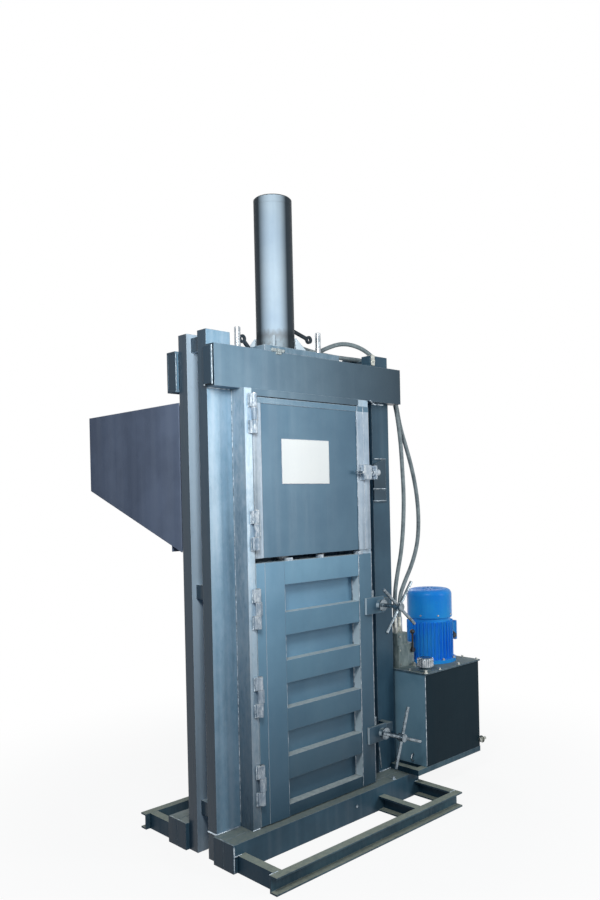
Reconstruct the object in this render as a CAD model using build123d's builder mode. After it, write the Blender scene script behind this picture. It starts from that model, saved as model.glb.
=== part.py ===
from build123d import *
import os
from math import cos, pi, radians, sin, tan

os.makedirs("parts", exist_ok=True)

# Base skid
base_length = 1190.0
base_depth = 950.0
rail_height = 70.0
rail_width = 40.0
rail_web = 6.0
rail_flange = 7.0
side_rail_inset = 22.0
cross_rail_offset = 325.0

# Bottom beams, each two channels toe to toe
low_beam_height = 115.0
low_beam_depth = 131.0
low_beam_wall = 8.0
low_beam_seam = 2.0

# Columns, in pairs with a gap between
column_width = 126.0
column_depth = 60.0
column_web = 7.0
column_flange = 10.0
column_height = 2218.0
column_gap = 78.0
column_inset_left = 19.0
column_inset_right = 29.0
column_plane = 494.0

# Top beams
top_beam_low = 1975.0
top_beam_height = 175.0
top_beam_depth = 62.0
top_beam_web = 8.0
top_beam_flange = 10.0
top_beam_inset = 12.0

# Chamber and its posts
side_gap = 108.0
chamber_depth = 372.0
wall_thickness = 6.0
floor_thickness = 12.0
left_post_width = 40.0
right_post_width = 81.0
right_post_setback = 14.0
post_wall = 6.0
header_height = 30.0

# Doors
door_gap = 4.0
door_plate = 6.0
door_step = 6.0
door_overlap = 70.0
door_stile = 44.0
door_right_stile = 78.0
door_fold = 38.0
upper_door_low = 1254.0
upper_door_high = 1941.0
lower_door_low = 120.0
lower_door_high = 1233.0
lower_stile = 157.0
lower_right_stile = 90.0
lower_depth = 53.0
lower_top_rail = 103.0
rib_height = 100.0
rib_pitch = 209.5
rib_top = 1010.0
rib_bottom_top = 172.0
rib_web = 8.0

# Bare plate on the upper door
blank_width = 292.0
blank_height = 198.0
blank_low = 1570.0
blank_shift = -18.0
blank_thickness = 2.0

# Hinges
knuckle_radius = 12.5
knuckle_length = 55.0
knuckle_gap = 1.0
hinge_standoff = 13.2
pin_radius = 6.0
running_clearance = 0.3
pin_head_radius = 9.0
pin_head = 4.0
bead_width = 15.0
upper_hinges = (1291.0, 1783.0)
lower_hinges = (218.0, 590.0, 960.0)

# Star handles and their dogs
handle_overhang = 40.0
handle_heights = (354.0, 978.0)
handle_turns = (70.0, 50.0)
ear_width = 125.0
ear_height = 80.0
ear_thickness = 12.0
boss_radius = 22.0
boss_length = 22.0
spindle_radius = 10.0
spindle_reach = 88.0
hub_radius = 19.0
hub_length = 34.0
spoke_radius = 7.5
spoke_reach = 146.0
dog_width = 30.0
dog_length = 66.0
dog_thickness = 12.0
dog_setback = 36.0
finger_clearance = 27.0
finger_thickness = 15.0
washer_radius = 28.0
washer_thickness = 7.0

# Upper door latch
latch_height = 1623.0
latch_block_width = 52.0
latch_block_height = 72.0
latch_block_depth = 26.0
latch_bolt_radius = 8.0
latch_bolt_tail = 30.0
latch_travel = 28.0
keeper_radius = 16.0
keeper_plate = 6.0

# Press cylinder and ram
tube_left_shift = 18.0
tube_back_shift = 8.0
tube_radius = 89.0
bore_radius = 78.0
tube_low = 1990.0
tube_high = 2860.0
cap_thickness = 35.0
gland_length = 50.0
rod_radius = 40.0
piston_length = 60.0
ram_stroke = 730.0
platen_low = 1110.0
platen_height = 100.0
platen_plate = 25.0
platen_side_gap = 6.0
platen_web = 12.0
guide_inset = 75.0
guide_radius = 14.0
left_guide_top = 2274.0
right_guide_top = 2311.0
bush_block_width = 70.0
bush_block_height = 30.0
mount_clearance = 6.0
mount_thickness = 25.0
gusset_height = 75.0
gusset_reach = 58.0
eye_bar = 15.0
eye_radius = 19.0
eye_hole = 8.0
left_eye_clearance = 0.0
right_eye_clearance = 22.0
left_eye_height = 52.0
right_eye_height = 97.0
eye_rise = 38.0
gusset_thickness = 12.0

# Hopper behind the chamber
hopper_joint = 10.0
hopper_reach = 1385.0
hopper_top = 1930.0
hopper_far_low = 1565.0
hopper_near_low = 1283.0
hopper_wall = 6.0
hopper_sill = 42.0

# Power unit
tank_length = 465.0
tank_depth = 404.0
tank_front = 211.0
tank_low = 142.0
tank_high = 604.0
tank_wall = 5.0
lid_thickness = 8.0
lid_lip = 5.0
shelf_height = 27.0
shelf_bar = 36.0
shelf_lead = 70.0
drain_reach = 38.0
drain_hexagon = 10.0
motor_along = 300.0
motor_across = 199.0
motor_radius = 112.0
motor_fin = 13.0
motor_fin_count = 36
motor_flange = 18.0
motor_body = 240.0
cowl_radius = 121.0
cowl_height = 150.0
shaft_radius = 14.0
fan_radius = 80.0
fan_disc = 5.0
blade_length = 64.0
blade_height = 38.0
blade_place = 47.0

# Hoses
hose_radius = 11.0
ferrule_radius = 14.0
ferrule_length = 50.0
hose_span = 719.0

# Places worked out from the sizes above
x_left = -(base_length + tank_length + drain_reach) / 2
x_right = x_left + base_length
y_front = -hopper_reach / 2
y_back = y_front + base_depth
y_mid = y_front + column_plane
front_column = y_mid - column_gap / 2 - column_depth
rear_column = y_mid + column_gap / 2 + column_depth
left_column = x_left + column_inset_left
right_column = x_right - column_inset_right - column_width
top_beam_high = top_beam_low + top_beam_height
post_outer = left_column + column_width
post_inner = post_outer + left_post_width
chamber_left = post_inner + wall_thickness - 1
right_post = right_column - side_gap - right_post_width
chamber_right = right_post - wall_thickness
x_mid = (chamber_left + chamber_right) / 2
chamber_front = y_mid - chamber_depth / 2
chamber_back = y_mid + chamber_depth / 2
hinge_x = post_inner + door_gap / 2
hinge_y = chamber_front - hinge_standoff
door_left = post_inner + door_gap
door_right = chamber_right + door_overlap
right_post_front = chamber_front + right_post_setback
floor_level = low_beam_height + floor_thickness
lower_back = chamber_front + lower_depth
press_front = lower_back + 4
tube_x = x_mid - tube_left_shift
tube_y = y_mid + tube_back_shift
tube_place = (tube_x, tube_y)
guide_spread = (chamber_right - chamber_left) / 2 - guide_inset
mount_length = 2 * (guide_spread - guide_radius - mount_clearance)
latch_bolt_length = latch_block_width + latch_travel + latch_bolt_tail


def slab(x, y, z, mode=Mode.ADD):
    """A rectangular block between pairs of coordinates."""
    middle = ((x[0] + x[1]) / 2, (y[0] + y[1]) / 2, (z[0] + z[1]) / 2)
    with Locations(middle):
        Box(x[1] - x[0], y[1] - y[0], z[1] - z[0], mode=mode)


def channel(start, end, back, toe, web, flange):
    """Corners of a channel section, as (along, depth) from its back to its toes."""
    inward = 1 if toe > back else -1
    web_face = back + inward * web
    return [
        (start, back),
        (start, toe),
        (start + flange, toe),
        (start + flange, web_face),
        (end - flange, web_face),
        (end - flange, toe),
        (end, toe),
        (end, back),
    ]


def across(corners):
    """The same section with depth along the first axis, for members that run along X."""
    return [(depth, along) for along, depth in corners]


def bar_outline(start, end, width):
    """Corners of a flat bar from one point to another."""
    along = Vector(*end) - Vector(*start)
    side = Vector(-along.Y, along.X).normalized() * (width / 2)
    first = Vector(*start)
    last = Vector(*end)
    corners = (first + side, last + side, last - side, first - side)
    return [(corner.X, corner.Y) for corner in corners]


def arc_radii(points):
    """The largest arc at each corner that leaves a tenth of both runs straight."""
    radii = []
    for before, corner, after in zip(points, points[1:], points[2:]):
        run_in = Vector(*corner) - Vector(*before)
        run_out = Vector(*after) - Vector(*corner)
        turn = radians(run_in.get_angle(run_out))
        radii.append(0.45 * min(run_in.length, run_out.length) / tan(turn / 2))
    return radii


# Front and rear rails of the skid, open outwards
with BuildPart() as base_end_rails:
    with BuildSketch(Plane.YZ.offset(x_left)):
        with BuildLine():
            Polyline(
                *across(channel(0, rail_height, y_front + rail_width, y_front, rail_web, rail_flange)),
                close=True,
            )
        make_face()
    extrude(amount=base_length)
    with BuildSketch(Plane.YZ.offset(x_left)):
        with BuildLine():
            Polyline(
                *across(channel(0, rail_height, y_back - rail_width, y_back, rail_web, rail_flange)),
                close=True,
            )
        make_face()
    extrude(amount=base_length)
base_end_rails.part.label = "base_end_rails"
export_step(base_end_rails.part, "parts/base_end_rails.step")

# Bottom beams across the skid
low_beam_front = front_column - low_beam_depth
low_beam_rear = rear_column
low_beam_right = x_right - 4

with BuildPart() as bottom_beams:
    slab((x_left, low_beam_right), (low_beam_front, front_column), (0, low_beam_height))
    slab(
        (x_left + low_beam_wall, low_beam_right),
        (low_beam_front + low_beam_wall, front_column - low_beam_wall),
        (low_beam_wall, low_beam_height - low_beam_wall),
        mode=Mode.SUBTRACT,
    )
    slab(
        (x_left, low_beam_right),
        (low_beam_front + low_beam_depth / 2 - 1.5, low_beam_front + low_beam_depth / 2 + 1.5),
        (low_beam_height - low_beam_seam, low_beam_height),
        mode=Mode.SUBTRACT,
    )
    slab((x_left, low_beam_right), (rear_column, rear_column + low_beam_depth), (0, low_beam_height))
    slab(
        (x_left + low_beam_wall, low_beam_right),
        (rear_column + low_beam_wall, rear_column + low_beam_depth - low_beam_wall),
        (low_beam_wall, low_beam_height - low_beam_wall),
        mode=Mode.SUBTRACT,
    )
    slab(
        (x_left, low_beam_right),
        (rear_column + low_beam_depth / 2 - 1.5, rear_column + low_beam_depth / 2 + 1.5),
        (low_beam_height - low_beam_seam, low_beam_height),
        mode=Mode.SUBTRACT,
    )
    for beam_front in (low_beam_front, rear_column):
        slab(
            (x_left, x_left + low_beam_seam),
            (beam_front + low_beam_depth / 2 - 1.5, beam_front + low_beam_depth / 2 + 1.5),
            (0, low_beam_height),
            mode=Mode.SUBTRACT,
        )
bottom_beams.part.label = "bottom_beams"
export_step(bottom_beams.part, "parts/bottom_beams.step")

# Side and cross rails between the end rails and the beams
front_bay = low_beam_front - y_front - rail_width
rear_bay = y_back - rail_width - rear_column - low_beam_depth
left_rail = x_left + side_rail_inset

cross_web = x_left + base_length / 2 + cross_rail_offset
rail_backs = ((left_rail, left_rail + rail_width), (x_right, x_right - rail_width))

with BuildPart() as base_inner_rails:
    for back, toe in rail_backs:
        for start, bay in ((low_beam_front, front_bay), (y_back - rail_width, rear_bay)):
            with BuildSketch(Plane.XZ.offset(-start)):
                with BuildLine():
                    Polyline(*across(channel(0, rail_height, back, toe, rail_web, rail_flange)), close=True)
                make_face()
            extrude(amount=bay)
    for start, bay in ((low_beam_front, front_bay), (y_back - rail_width, rear_bay)):
        with BuildSketch(Plane.XZ.offset(-start)):
            with BuildLine():
                Polyline(
                    *across(channel(0, rail_height, cross_web, cross_web - rail_width, rail_web, rail_flange)),
                    close=True,
                )
            make_face()
        extrude(amount=bay)
base_inner_rails.part.label = "base_inner_rails"
export_step(base_inner_rails.part, "parts/base_inner_rails.step")

# Columns, both with the web to the front
front_toe = front_column + column_depth
rear_web = rear_column - column_depth

column_backs = ((front_column, front_toe), (rear_web, rear_column))

with BuildPart() as left_columns:
    for back, toe in column_backs:
        with BuildSketch(Plane.XY):
            with BuildLine():
                Polyline(
                    *channel(left_column, left_column + column_width, back, toe, column_web, column_flange),
                    close=True,
                )
            make_face()
        extrude(amount=column_height)
left_columns.part.label = "left_columns"
export_step(left_columns.part, "parts/left_columns.step")

with BuildPart() as right_columns:
    for back, toe in column_backs:
        with BuildSketch(Plane.XY):
            with BuildLine():
                Polyline(
                    *channel(right_column, right_column + column_width, back, toe, column_web, column_flange),
                    close=True,
                )
            make_face()
        extrude(amount=column_height)
right_columns.part.label = "right_columns"
export_step(right_columns.part, "parts/right_columns.step")

# Plates that tie each pair of columns across the gap
spacer_levels = (low_beam_height + 45, 1085.0, column_height - 78)
with BuildPart() as column_spacers:
    for column in (left_column, right_column):
        for level in spacer_levels:
            slab(
                (column + column_width / 2 - 40, column + column_width / 2 + 40),
                (front_column + column_web, rear_web),
                (level, level + 60),
            )
column_spacers.part.label = "column_spacers"
export_step(column_spacers.part, "parts/column_spacers.step")

# Top beams, webs outwards, lying against the columns
top_front = front_column - top_beam_depth
top_rear = rear_column + top_beam_depth

with BuildPart() as top_beams:
    with BuildSketch(Plane.YZ.offset(x_left + top_beam_inset)):
        with BuildLine():
            Polyline(
                *across(
                    channel(top_beam_low, top_beam_high, top_front, front_column, top_beam_web, top_beam_flange)
                ),
                close=True,
            )
        make_face()
    extrude(amount=base_length - top_beam_inset)
    with BuildSketch(Plane.YZ.offset(x_left)):
        with BuildLine():
            Polyline(
                *across(
                    channel(top_beam_low, top_beam_high, top_rear, rear_column, top_beam_web, top_beam_flange)
                ),
                close=True,
            )
        make_face()
    extrude(amount=base_length)
top_beams.part.label = "top_beams"
export_step(top_beams.part, "parts/top_beams.step")

# Box posts between the beams, at the corners of the chamber
with BuildPart() as chamber_posts:
    slab((post_outer, post_inner), (chamber_front, front_column), (low_beam_height, top_beam_low))
    slab(
        (post_outer + post_wall, post_inner - post_wall),
        (chamber_front + post_wall, front_column - post_wall),
        (low_beam_height, top_beam_low),
        mode=Mode.SUBTRACT,
    )
    slab(
        (right_post, right_post + right_post_width),
        (right_post_front, front_column),
        (low_beam_height, top_beam_low),
    )
    slab(
        (right_post + post_wall, right_post + right_post_width - post_wall),
        (right_post_front + post_wall, front_column - post_wall),
        (low_beam_height, top_beam_low),
        mode=Mode.SUBTRACT,
    )
    for low, high in ((post_outer, post_inner), (right_post, right_post + right_post_width)):
        slab((low, high), (rear_column, chamber_back), (low_beam_height, top_beam_low))
        slab(
            (low + post_wall, high - post_wall),
            (rear_column + post_wall, chamber_back - post_wall),
            (low_beam_height, top_beam_low),
            mode=Mode.SUBTRACT,
        )
chamber_posts.part.label = "chamber_posts"
export_step(chamber_posts.part, "parts/chamber_posts.step")

# Strips that close the chamber under the top beams
header_low = top_beam_low - header_height
with BuildPart() as header_strips:
    slab((post_inner, right_post), (chamber_front + 3, front_column), (header_low, top_beam_low))
    slab((post_inner, right_post), (rear_column, chamber_back), (header_low, top_beam_low))
header_strips.part.label = "header_strips"
export_step(header_strips.part, "parts/header_strips.step")

# Chamber floor and walls
with BuildPart() as chamber_floor:
    slab((post_inner, right_post), (press_front, chamber_back), (low_beam_height, floor_level))
chamber_floor.part.label = "chamber_floor"
export_step(chamber_floor.part, "parts/chamber_floor.step")

with BuildPart() as chamber_side_walls:
    slab((post_inner, chamber_left), (press_front, chamber_back), (floor_level, header_low))
    slab((chamber_right, right_post), (press_front, chamber_back), (floor_level, header_low))
chamber_side_walls.part.label = "chamber_side_walls"
export_step(chamber_side_walls.part, "parts/chamber_side_walls.step")

with BuildPart() as chamber_rear_wall:
    slab(
        (post_outer, right_post + right_post_width),
        (chamber_back, chamber_back + wall_thickness),
        (low_beam_height, hopper_near_low),
    )
chamber_rear_wall.part.label = "chamber_rear_wall"
export_step(chamber_rear_wall.part, "parts/chamber_rear_wall.step")

# Hopper of sheet with an open top and a sloping floor
hopper_left = left_column
hopper_right = right_column + column_width
hopper_start = rear_column + hopper_joint
hopper_end = y_front + hopper_reach
hopper_slope = (hopper_far_low - hopper_near_low) / (hopper_end - hopper_start)
sheet_start = chamber_back + hopper_wall
sheet_low = hopper_near_low + hopper_slope * (sheet_start - hopper_start)

with BuildPart() as hopper_walls:
    with BuildSketch(Plane.YZ.offset(hopper_left)):
        with BuildLine():
            Polyline(
                (hopper_start, hopper_near_low),
                (hopper_end, hopper_far_low),
                (hopper_end, hopper_top),
                (hopper_start, hopper_top),
                close=True,
            )
        make_face()
    extrude(amount=hopper_wall)
    with BuildSketch(Plane.YZ.offset(hopper_right - hopper_wall)):
        with BuildLine():
            Polyline(
                (hopper_start, hopper_near_low),
                (hopper_end, hopper_far_low),
                (hopper_end, hopper_top),
                (hopper_start, hopper_top),
                close=True,
            )
        make_face()
    extrude(amount=hopper_wall)
    slab(
        (hopper_left + hopper_wall, hopper_right - hopper_wall),
        (hopper_end - hopper_wall, hopper_end),
        (hopper_far_low, hopper_top),
    )
hopper_walls.part.label = "hopper_walls"
export_step(hopper_walls.part, "parts/hopper_walls.step")

with BuildPart() as hopper_front:
    slab(
        (hopper_left + hopper_wall, hopper_right - hopper_wall),
        (chamber_back, chamber_back + hopper_wall),
        (hopper_near_low, hopper_top),
    )
    slab(
        (chamber_left, chamber_right),
        (chamber_back, chamber_back + hopper_wall),
        (sheet_low + hopper_sill - 30, hopper_top),
        mode=Mode.SUBTRACT,
    )
hopper_front.part.label = "hopper_front"
export_step(hopper_front.part, "parts/hopper_front.step")

with BuildPart() as hopper_floor:
    with BuildSketch(Plane.YZ.offset(hopper_left + hopper_wall)):
        with BuildLine():
            Polyline(
                (sheet_start, sheet_low),
                (hopper_end - hopper_wall, hopper_far_low - hopper_slope * hopper_wall),
                (hopper_end - hopper_wall, hopper_far_low - hopper_slope * hopper_wall + hopper_wall),
                (sheet_start, sheet_low + hopper_wall),
                close=True,
            )
        make_face()
    extrude(amount=hopper_right - hopper_left - 2 * hopper_wall)
hopper_floor.part.label = "hopper_floor"
export_step(hopper_floor.part, "parts/hopper_floor.step")

# Mounting plate of the cylinder, on both top beams, with its gussets
plate_top = top_beam_high + mount_thickness
with BuildPart() as cylinder_mount:
    with BuildSketch(Plane.XY.offset(top_beam_high)):
        with Locations((x_mid, (top_front + top_rear) / 2)):
            Rectangle(mount_length, top_rear - top_front)
        with Locations(tube_place):
            Circle(tube_radius, mode=Mode.SUBTRACT)
    extrude(amount=mount_thickness)
    for quarter in range(4):
        turn = radians(90 * quarter + 45)
        rib_plane = Plane(
            (tube_x, tube_y, plate_top),
            x_dir=(cos(turn), sin(turn), 0),
            z_dir=(sin(turn), -cos(turn), 0),
        )
        with BuildSketch(rib_plane):
            with BuildLine():
                Polyline(
                    (tube_radius - 1, 0),
                    (tube_radius + gusset_reach, 0),
                    (tube_radius + gusset_reach, 10),
                    (tube_radius + 8, gusset_height),
                    (tube_radius - 1, gusset_height),
                    close=True,
                )
            make_face()
        extrude(amount=gusset_thickness / 2, both=True)
    with Locations((tube_x, tube_y, plate_top)):
        Cylinder(
            tube_radius,
            gusset_height + 5,
            align=(Align.CENTER, Align.CENTER, Align.MIN),
            mode=Mode.SUBTRACT,
        )
cylinder_mount.part.label = "cylinder_mount"
export_step(cylinder_mount.part, "parts/cylinder_mount.step")

# Lifting eyes of bent bar beside the cylinder, the right one higher than the left
right_eye_x = x_mid + guide_spread - guide_radius - right_eye_clearance - eye_radius
right_eye_z = plate_top + right_eye_height
left_eye_x = x_mid - guide_spread + guide_radius + left_eye_clearance + eye_radius
left_eye_z = plate_top + left_eye_height
left_eye_foot = left_eye_x + 0.4 * (tube_x - tube_radius - left_eye_x)
eye_bars = (
    ((right_eye_x, right_eye_z), (tube_x + tube_radius - 6, right_eye_z + eye_rise)),
    ((left_eye_x, left_eye_z), (left_eye_foot, plate_top + eye_bar / 2)),
    ((left_eye_foot, plate_top + eye_bar / 2), (tube_x - tube_radius + 6, plate_top + eye_bar / 2)),
)
with BuildPart() as lifting_eyes:
    with BuildSketch(Plane.XZ.offset(-(tube_y + gusset_thickness / 2))):
        for start, end in eye_bars:
            with BuildLine():
                Polyline(*bar_outline(start, end, eye_bar), close=True)
            make_face()
        with Locations((left_eye_foot, plate_top + eye_bar / 2)):
            Circle(eye_bar / 2)
        with Locations((right_eye_x, right_eye_z), (left_eye_x, left_eye_z)):
            Circle(eye_radius)
            Circle(eye_hole, mode=Mode.SUBTRACT)
    extrude(amount=gusset_thickness)
    with Locations((tube_x, tube_y, plate_top)):
        Cylinder(
            tube_radius,
            right_eye_height + eye_rise + eye_bar,
            align=(Align.CENTER, Align.CENTER, Align.MIN),
            mode=Mode.SUBTRACT,
        )
lifting_eyes.part.label = "lifting_eyes"
export_step(lifting_eyes.part, "parts/lifting_eyes.step")

# Cylinder tube, gland and cap
with BuildPart() as cylinder_tube:
    with BuildSketch(Plane.XY.offset(tube_low)):
        with Locations(tube_place):
            Circle(tube_radius)
            Circle(bore_radius, mode=Mode.SUBTRACT)
    extrude(amount=tube_high - tube_low)
cylinder_tube.part.label = "cylinder_tube"
export_step(cylinder_tube.part, "parts/cylinder_tube.step")

with BuildPart() as cylinder_gland:
    with BuildSketch(Plane.XY.offset(tube_low)):
        with Locations(tube_place):
            Circle(bore_radius)
            Circle(rod_radius + running_clearance, mode=Mode.SUBTRACT)
    extrude(amount=gland_length)
cylinder_gland.part.label = "cylinder_gland"
export_step(cylinder_gland.part, "parts/cylinder_gland.step")

with BuildPart() as cylinder_cap:
    with BuildSketch(Plane.XY.offset(tube_high)):
        with Locations(tube_place):
            Circle(tube_radius)
    extrude(amount=cap_thickness)
    chamfer(cylinder_cap.faces().sort_by(Axis.Z)[-1].edges(), 5)
cylinder_cap.part.label = "cylinder_cap"
export_step(cylinder_cap.part, "parts/cylinder_cap.step")

# Guide blocks for the ram's rods, on the lower flanges of the top beams
block_low = top_beam_low + top_beam_flange
with BuildPart() as guide_blocks:
    with BuildSketch(Plane.XY.offset(block_low)):
        with Locations((x_mid - guide_spread, y_mid), (x_mid + guide_spread, y_mid)):
            Rectangle(bush_block_width, top_rear - top_front - 2 * top_beam_web)
            Circle(guide_radius + running_clearance, mode=Mode.SUBTRACT)
    extrude(amount=bush_block_height)
guide_blocks.part.label = "guide_blocks"
export_step(guide_blocks.part, "parts/guide_blocks.step")

# Ram: platen, rod with its piston, and guide rods
press_back = chamber_back - platen_side_gap
platen_front = press_front + 3
platen_left = chamber_left + platen_side_gap
platen_right = chamber_right - platen_side_gap
platen_top = platen_low + platen_plate

with BuildPart() as ram_platen:
    slab((platen_left, platen_right), (platen_front, press_back), (platen_low, platen_low + platen_height))
    for low, high in (
        (platen_left + platen_web, x_mid - guide_spread - 30),
        (x_mid - guide_spread + 30, x_mid - 60),
        (x_mid + 60, x_mid + guide_spread - 30),
        (x_mid + guide_spread + 30, platen_right - platen_web),
    ):
        slab(
            (low, high),
            (platen_front + platen_web, press_back - platen_web),
            (platen_top, platen_low + platen_height),
            mode=Mode.SUBTRACT,
        )
ram_platen.part.label = "ram_platen"
export_step(ram_platen.part, "parts/ram_platen.step")

ram_top = platen_low + platen_height
piston_low = tube_low + gland_length + 5
with BuildPart() as ram_rod:
    with BuildSketch(Plane.XY.offset(ram_top)):
        with Locations(tube_place):
            Circle(rod_radius)
    extrude(amount=piston_low - ram_top)
    with BuildSketch(Plane.XY.offset(piston_low)):
        with Locations(tube_place):
            Circle(bore_radius - running_clearance)
    extrude(amount=piston_length)
ram_rod.part.label = "ram_rod"
export_step(ram_rod.part, "parts/ram_rod.step")

with BuildPart() as guide_rods:
    for guide_x, guide_top in (
        (x_mid - guide_spread, left_guide_top),
        (x_mid + guide_spread, right_guide_top),
    ):
        with BuildSketch(Plane.XY.offset(ram_top)):
            with Locations((guide_x, y_mid)):
                Circle(guide_radius)
        extrude(amount=guide_top - ram_top)
    chamfer(guide_rods.faces().filter_by(Axis.Z).sort_by(Axis.Z)[-2:].edges(), 2)
guide_rods.part.label = "guide_rods"
export_step(guide_rods.part, "parts/guide_rods.step")

# Upper door: sheet with stiles, a folded right edge and a top strip
panel_front = chamber_front + door_step
with BuildPart() as upper_door_panel:
    slab((door_left, door_right), (panel_front, panel_front + door_plate), (upper_door_low, upper_door_high))
upper_door_panel.part.label = "upper_door_panel"
export_step(upper_door_panel.part, "parts/upper_door_panel.step")

with BuildPart() as upper_door_stiles:
    slab((door_left, door_left + door_stile), (chamber_front, panel_front), (upper_door_low, upper_door_high))
    slab(
        (door_right - door_right_stile, door_right),
        (chamber_front - 2, panel_front),
        (upper_door_low, upper_door_high),
    )
    slab(
        (door_right - door_fold, door_right),
        (chamber_front - 4, chamber_front - 2),
        (upper_door_low, upper_door_high),
    )
    slab(
        (door_left + door_stile, door_right - door_right_stile),
        (chamber_front + 3, panel_front),
        (upper_door_high - 26, upper_door_high),
    )
upper_door_stiles.part.label = "upper_door_stiles"
export_step(upper_door_stiles.part, "parts/upper_door_stiles.step")

# Plain plate on the upper door
with BuildPart() as door_plate_blank:
    slab(
        (x_mid + blank_shift - blank_width / 2, x_mid + blank_shift + blank_width / 2),
        (panel_front - blank_thickness, panel_front),
        (blank_low, blank_low + blank_height),
    )
door_plate_blank.part.label = "door_plate_blank"
export_step(door_plate_blank.part, "parts/door_plate_blank.step")

# Lower door: back sheet, left stile, right edge, top rail and channel ribs
lower_panel_right = chamber_right - 8
stile_right = door_left + lower_stile
edge_left = door_right - lower_right_stile

with BuildPart() as lower_door_panel:
    slab(
        (door_left + 4, lower_panel_right),
        (lower_back - rib_web, lower_back),
        (lower_door_low, lower_door_high),
    )
lower_door_panel.part.label = "lower_door_panel"
export_step(lower_door_panel.part, "parts/lower_door_panel.step")

with BuildPart() as lower_door_stiles:
    slab(
        (door_left, stile_right),
        (chamber_front, lower_back - rib_web),
        (lower_door_low, lower_door_high),
    )
    slab(
        (door_left + door_stile + 3, stile_right),
        (chamber_front - 3, chamber_front),
        (lower_door_low, lower_door_high),
    )
    slab((edge_left, door_right), (chamber_front, chamber_front + 10), (lower_door_low, lower_door_high))
    slab(
        (edge_left, edge_left + 10),
        (chamber_front + 10, lower_back - rib_web),
        (lower_door_low, lower_door_high),
    )
lower_door_stiles.part.label = "lower_door_stiles"
export_step(lower_door_stiles.part, "parts/lower_door_stiles.step")

rib_tops = [rib_top - step * rib_pitch for step in range(4)]
rib_bands = [(top - rib_height, top) for top in rib_tops]
rib_bands.append((lower_door_low, rib_bottom_top))
with BuildPart() as lower_door_ribs:
    for low, high in rib_bands:
        with BuildSketch(Plane.YZ.offset(stile_right)):
            with BuildLine():
                Polyline(
                    *across(channel(low, high, chamber_front, lower_back - rib_web, rib_web, rib_web)),
                    close=True,
                )
            make_face()
        extrude(amount=edge_left - stile_right)
    slab(
        (stile_right, edge_left),
        (chamber_front, lower_back - rib_web),
        (lower_door_high - lower_top_rail, lower_door_high),
    )
lower_door_ribs.part.label = "lower_door_ribs"
export_step(lower_door_ribs.part, "parts/lower_door_ribs.step")

# Weld-on hinges: the outer knuckles on the post, the middle one on the door
hinge_starts = upper_hinges + lower_hinges
step_up = knuckle_length + knuckle_gap

with BuildPart() as frame_knuckles:
    for start in hinge_starts:
        for low in (start, start + 2 * step_up):
            slab(
                (hinge_x - 6 - bead_width, hinge_x - 6),
                (hinge_y, chamber_front),
                (low, low + knuckle_length),
            )
            with Locations((hinge_x, hinge_y, low)):
                Cylinder(knuckle_radius, knuckle_length, align=(Align.CENTER, Align.CENTER, Align.MIN))
                Cylinder(
                    pin_radius,
                    knuckle_length,
                    align=(Align.CENTER, Align.CENTER, Align.MIN),
                    mode=Mode.SUBTRACT,
                )
frame_knuckles.part.label = "frame_knuckles"
export_step(frame_knuckles.part, "parts/frame_knuckles.step")

with BuildPart() as hinge_pins:
    for start in hinge_starts:
        with Locations((hinge_x, hinge_y, start)):
            Cylinder(
                pin_radius,
                3 * knuckle_length + 2 * knuckle_gap,
                align=(Align.CENTER, Align.CENTER, Align.MIN),
            )
        with Locations((hinge_x, hinge_y, start + 3 * knuckle_length + 2 * knuckle_gap)):
            Cylinder(pin_head_radius, pin_head, align=(Align.CENTER, Align.CENTER, Align.MIN))
hinge_pins.part.label = "hinge_pins"
export_step(hinge_pins.part, "parts/hinge_pins.step")

with BuildPart() as upper_door_knuckles:
    for start in upper_hinges:
        low = start + step_up
        slab((hinge_x + 6, hinge_x + 6 + bead_width), (hinge_y, chamber_front), (low, low + knuckle_length))
        with Locations((hinge_x, hinge_y, low)):
            Cylinder(knuckle_radius, knuckle_length, align=(Align.CENTER, Align.CENTER, Align.MIN))
            Cylinder(
                pin_radius + running_clearance,
                knuckle_length,
                align=(Align.CENTER, Align.CENTER, Align.MIN),
                mode=Mode.SUBTRACT,
            )
upper_door_knuckles.part.label = "upper_door_knuckles"
export_step(upper_door_knuckles.part, "parts/upper_door_knuckles.step")

with BuildPart() as lower_door_knuckles:
    for start in lower_hinges:
        low = start + step_up
        slab((hinge_x + 6, hinge_x + 6 + bead_width), (hinge_y, chamber_front), (low, low + knuckle_length))
        with Locations((hinge_x, hinge_y, low)):
            Cylinder(knuckle_radius, knuckle_length, align=(Align.CENTER, Align.CENTER, Align.MIN))
            Cylinder(
                pin_radius + running_clearance,
                knuckle_length,
                align=(Align.CENTER, Align.CENTER, Align.MIN),
                mode=Mode.SUBTRACT,
            )
lower_door_knuckles.part.label = "lower_door_knuckles"
export_step(lower_door_knuckles.part, "parts/lower_door_knuckles.step")

# Slide latch of the upper door: block, bolt and the keeper on the post
stile_face = chamber_front - 4
latch_right = door_right - 12
latch_y = stile_face - latch_block_depth / 2 - 2
bolt_tip = door_right + 2
keeper_left = door_right + 4

with BuildPart() as latch_block:
    slab(
        (latch_right - latch_block_width, latch_right),
        (stile_face - latch_block_depth, stile_face),
        (latch_height - latch_block_height / 2, latch_height + latch_block_height / 2),
    )
    fillet(latch_block.edges().filter_by(Axis.X).group_by(Axis.Y)[0], 9)
    with BuildSketch(Plane.YZ.offset(latch_right - latch_block_width)):
        with Locations((latch_y, latch_height)):
            Circle(latch_bolt_radius + running_clearance)
    extrude(amount=latch_block_width, mode=Mode.SUBTRACT)
latch_block.part.label = "latch_block"
export_step(latch_block.part, "parts/latch_block.step")

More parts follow.
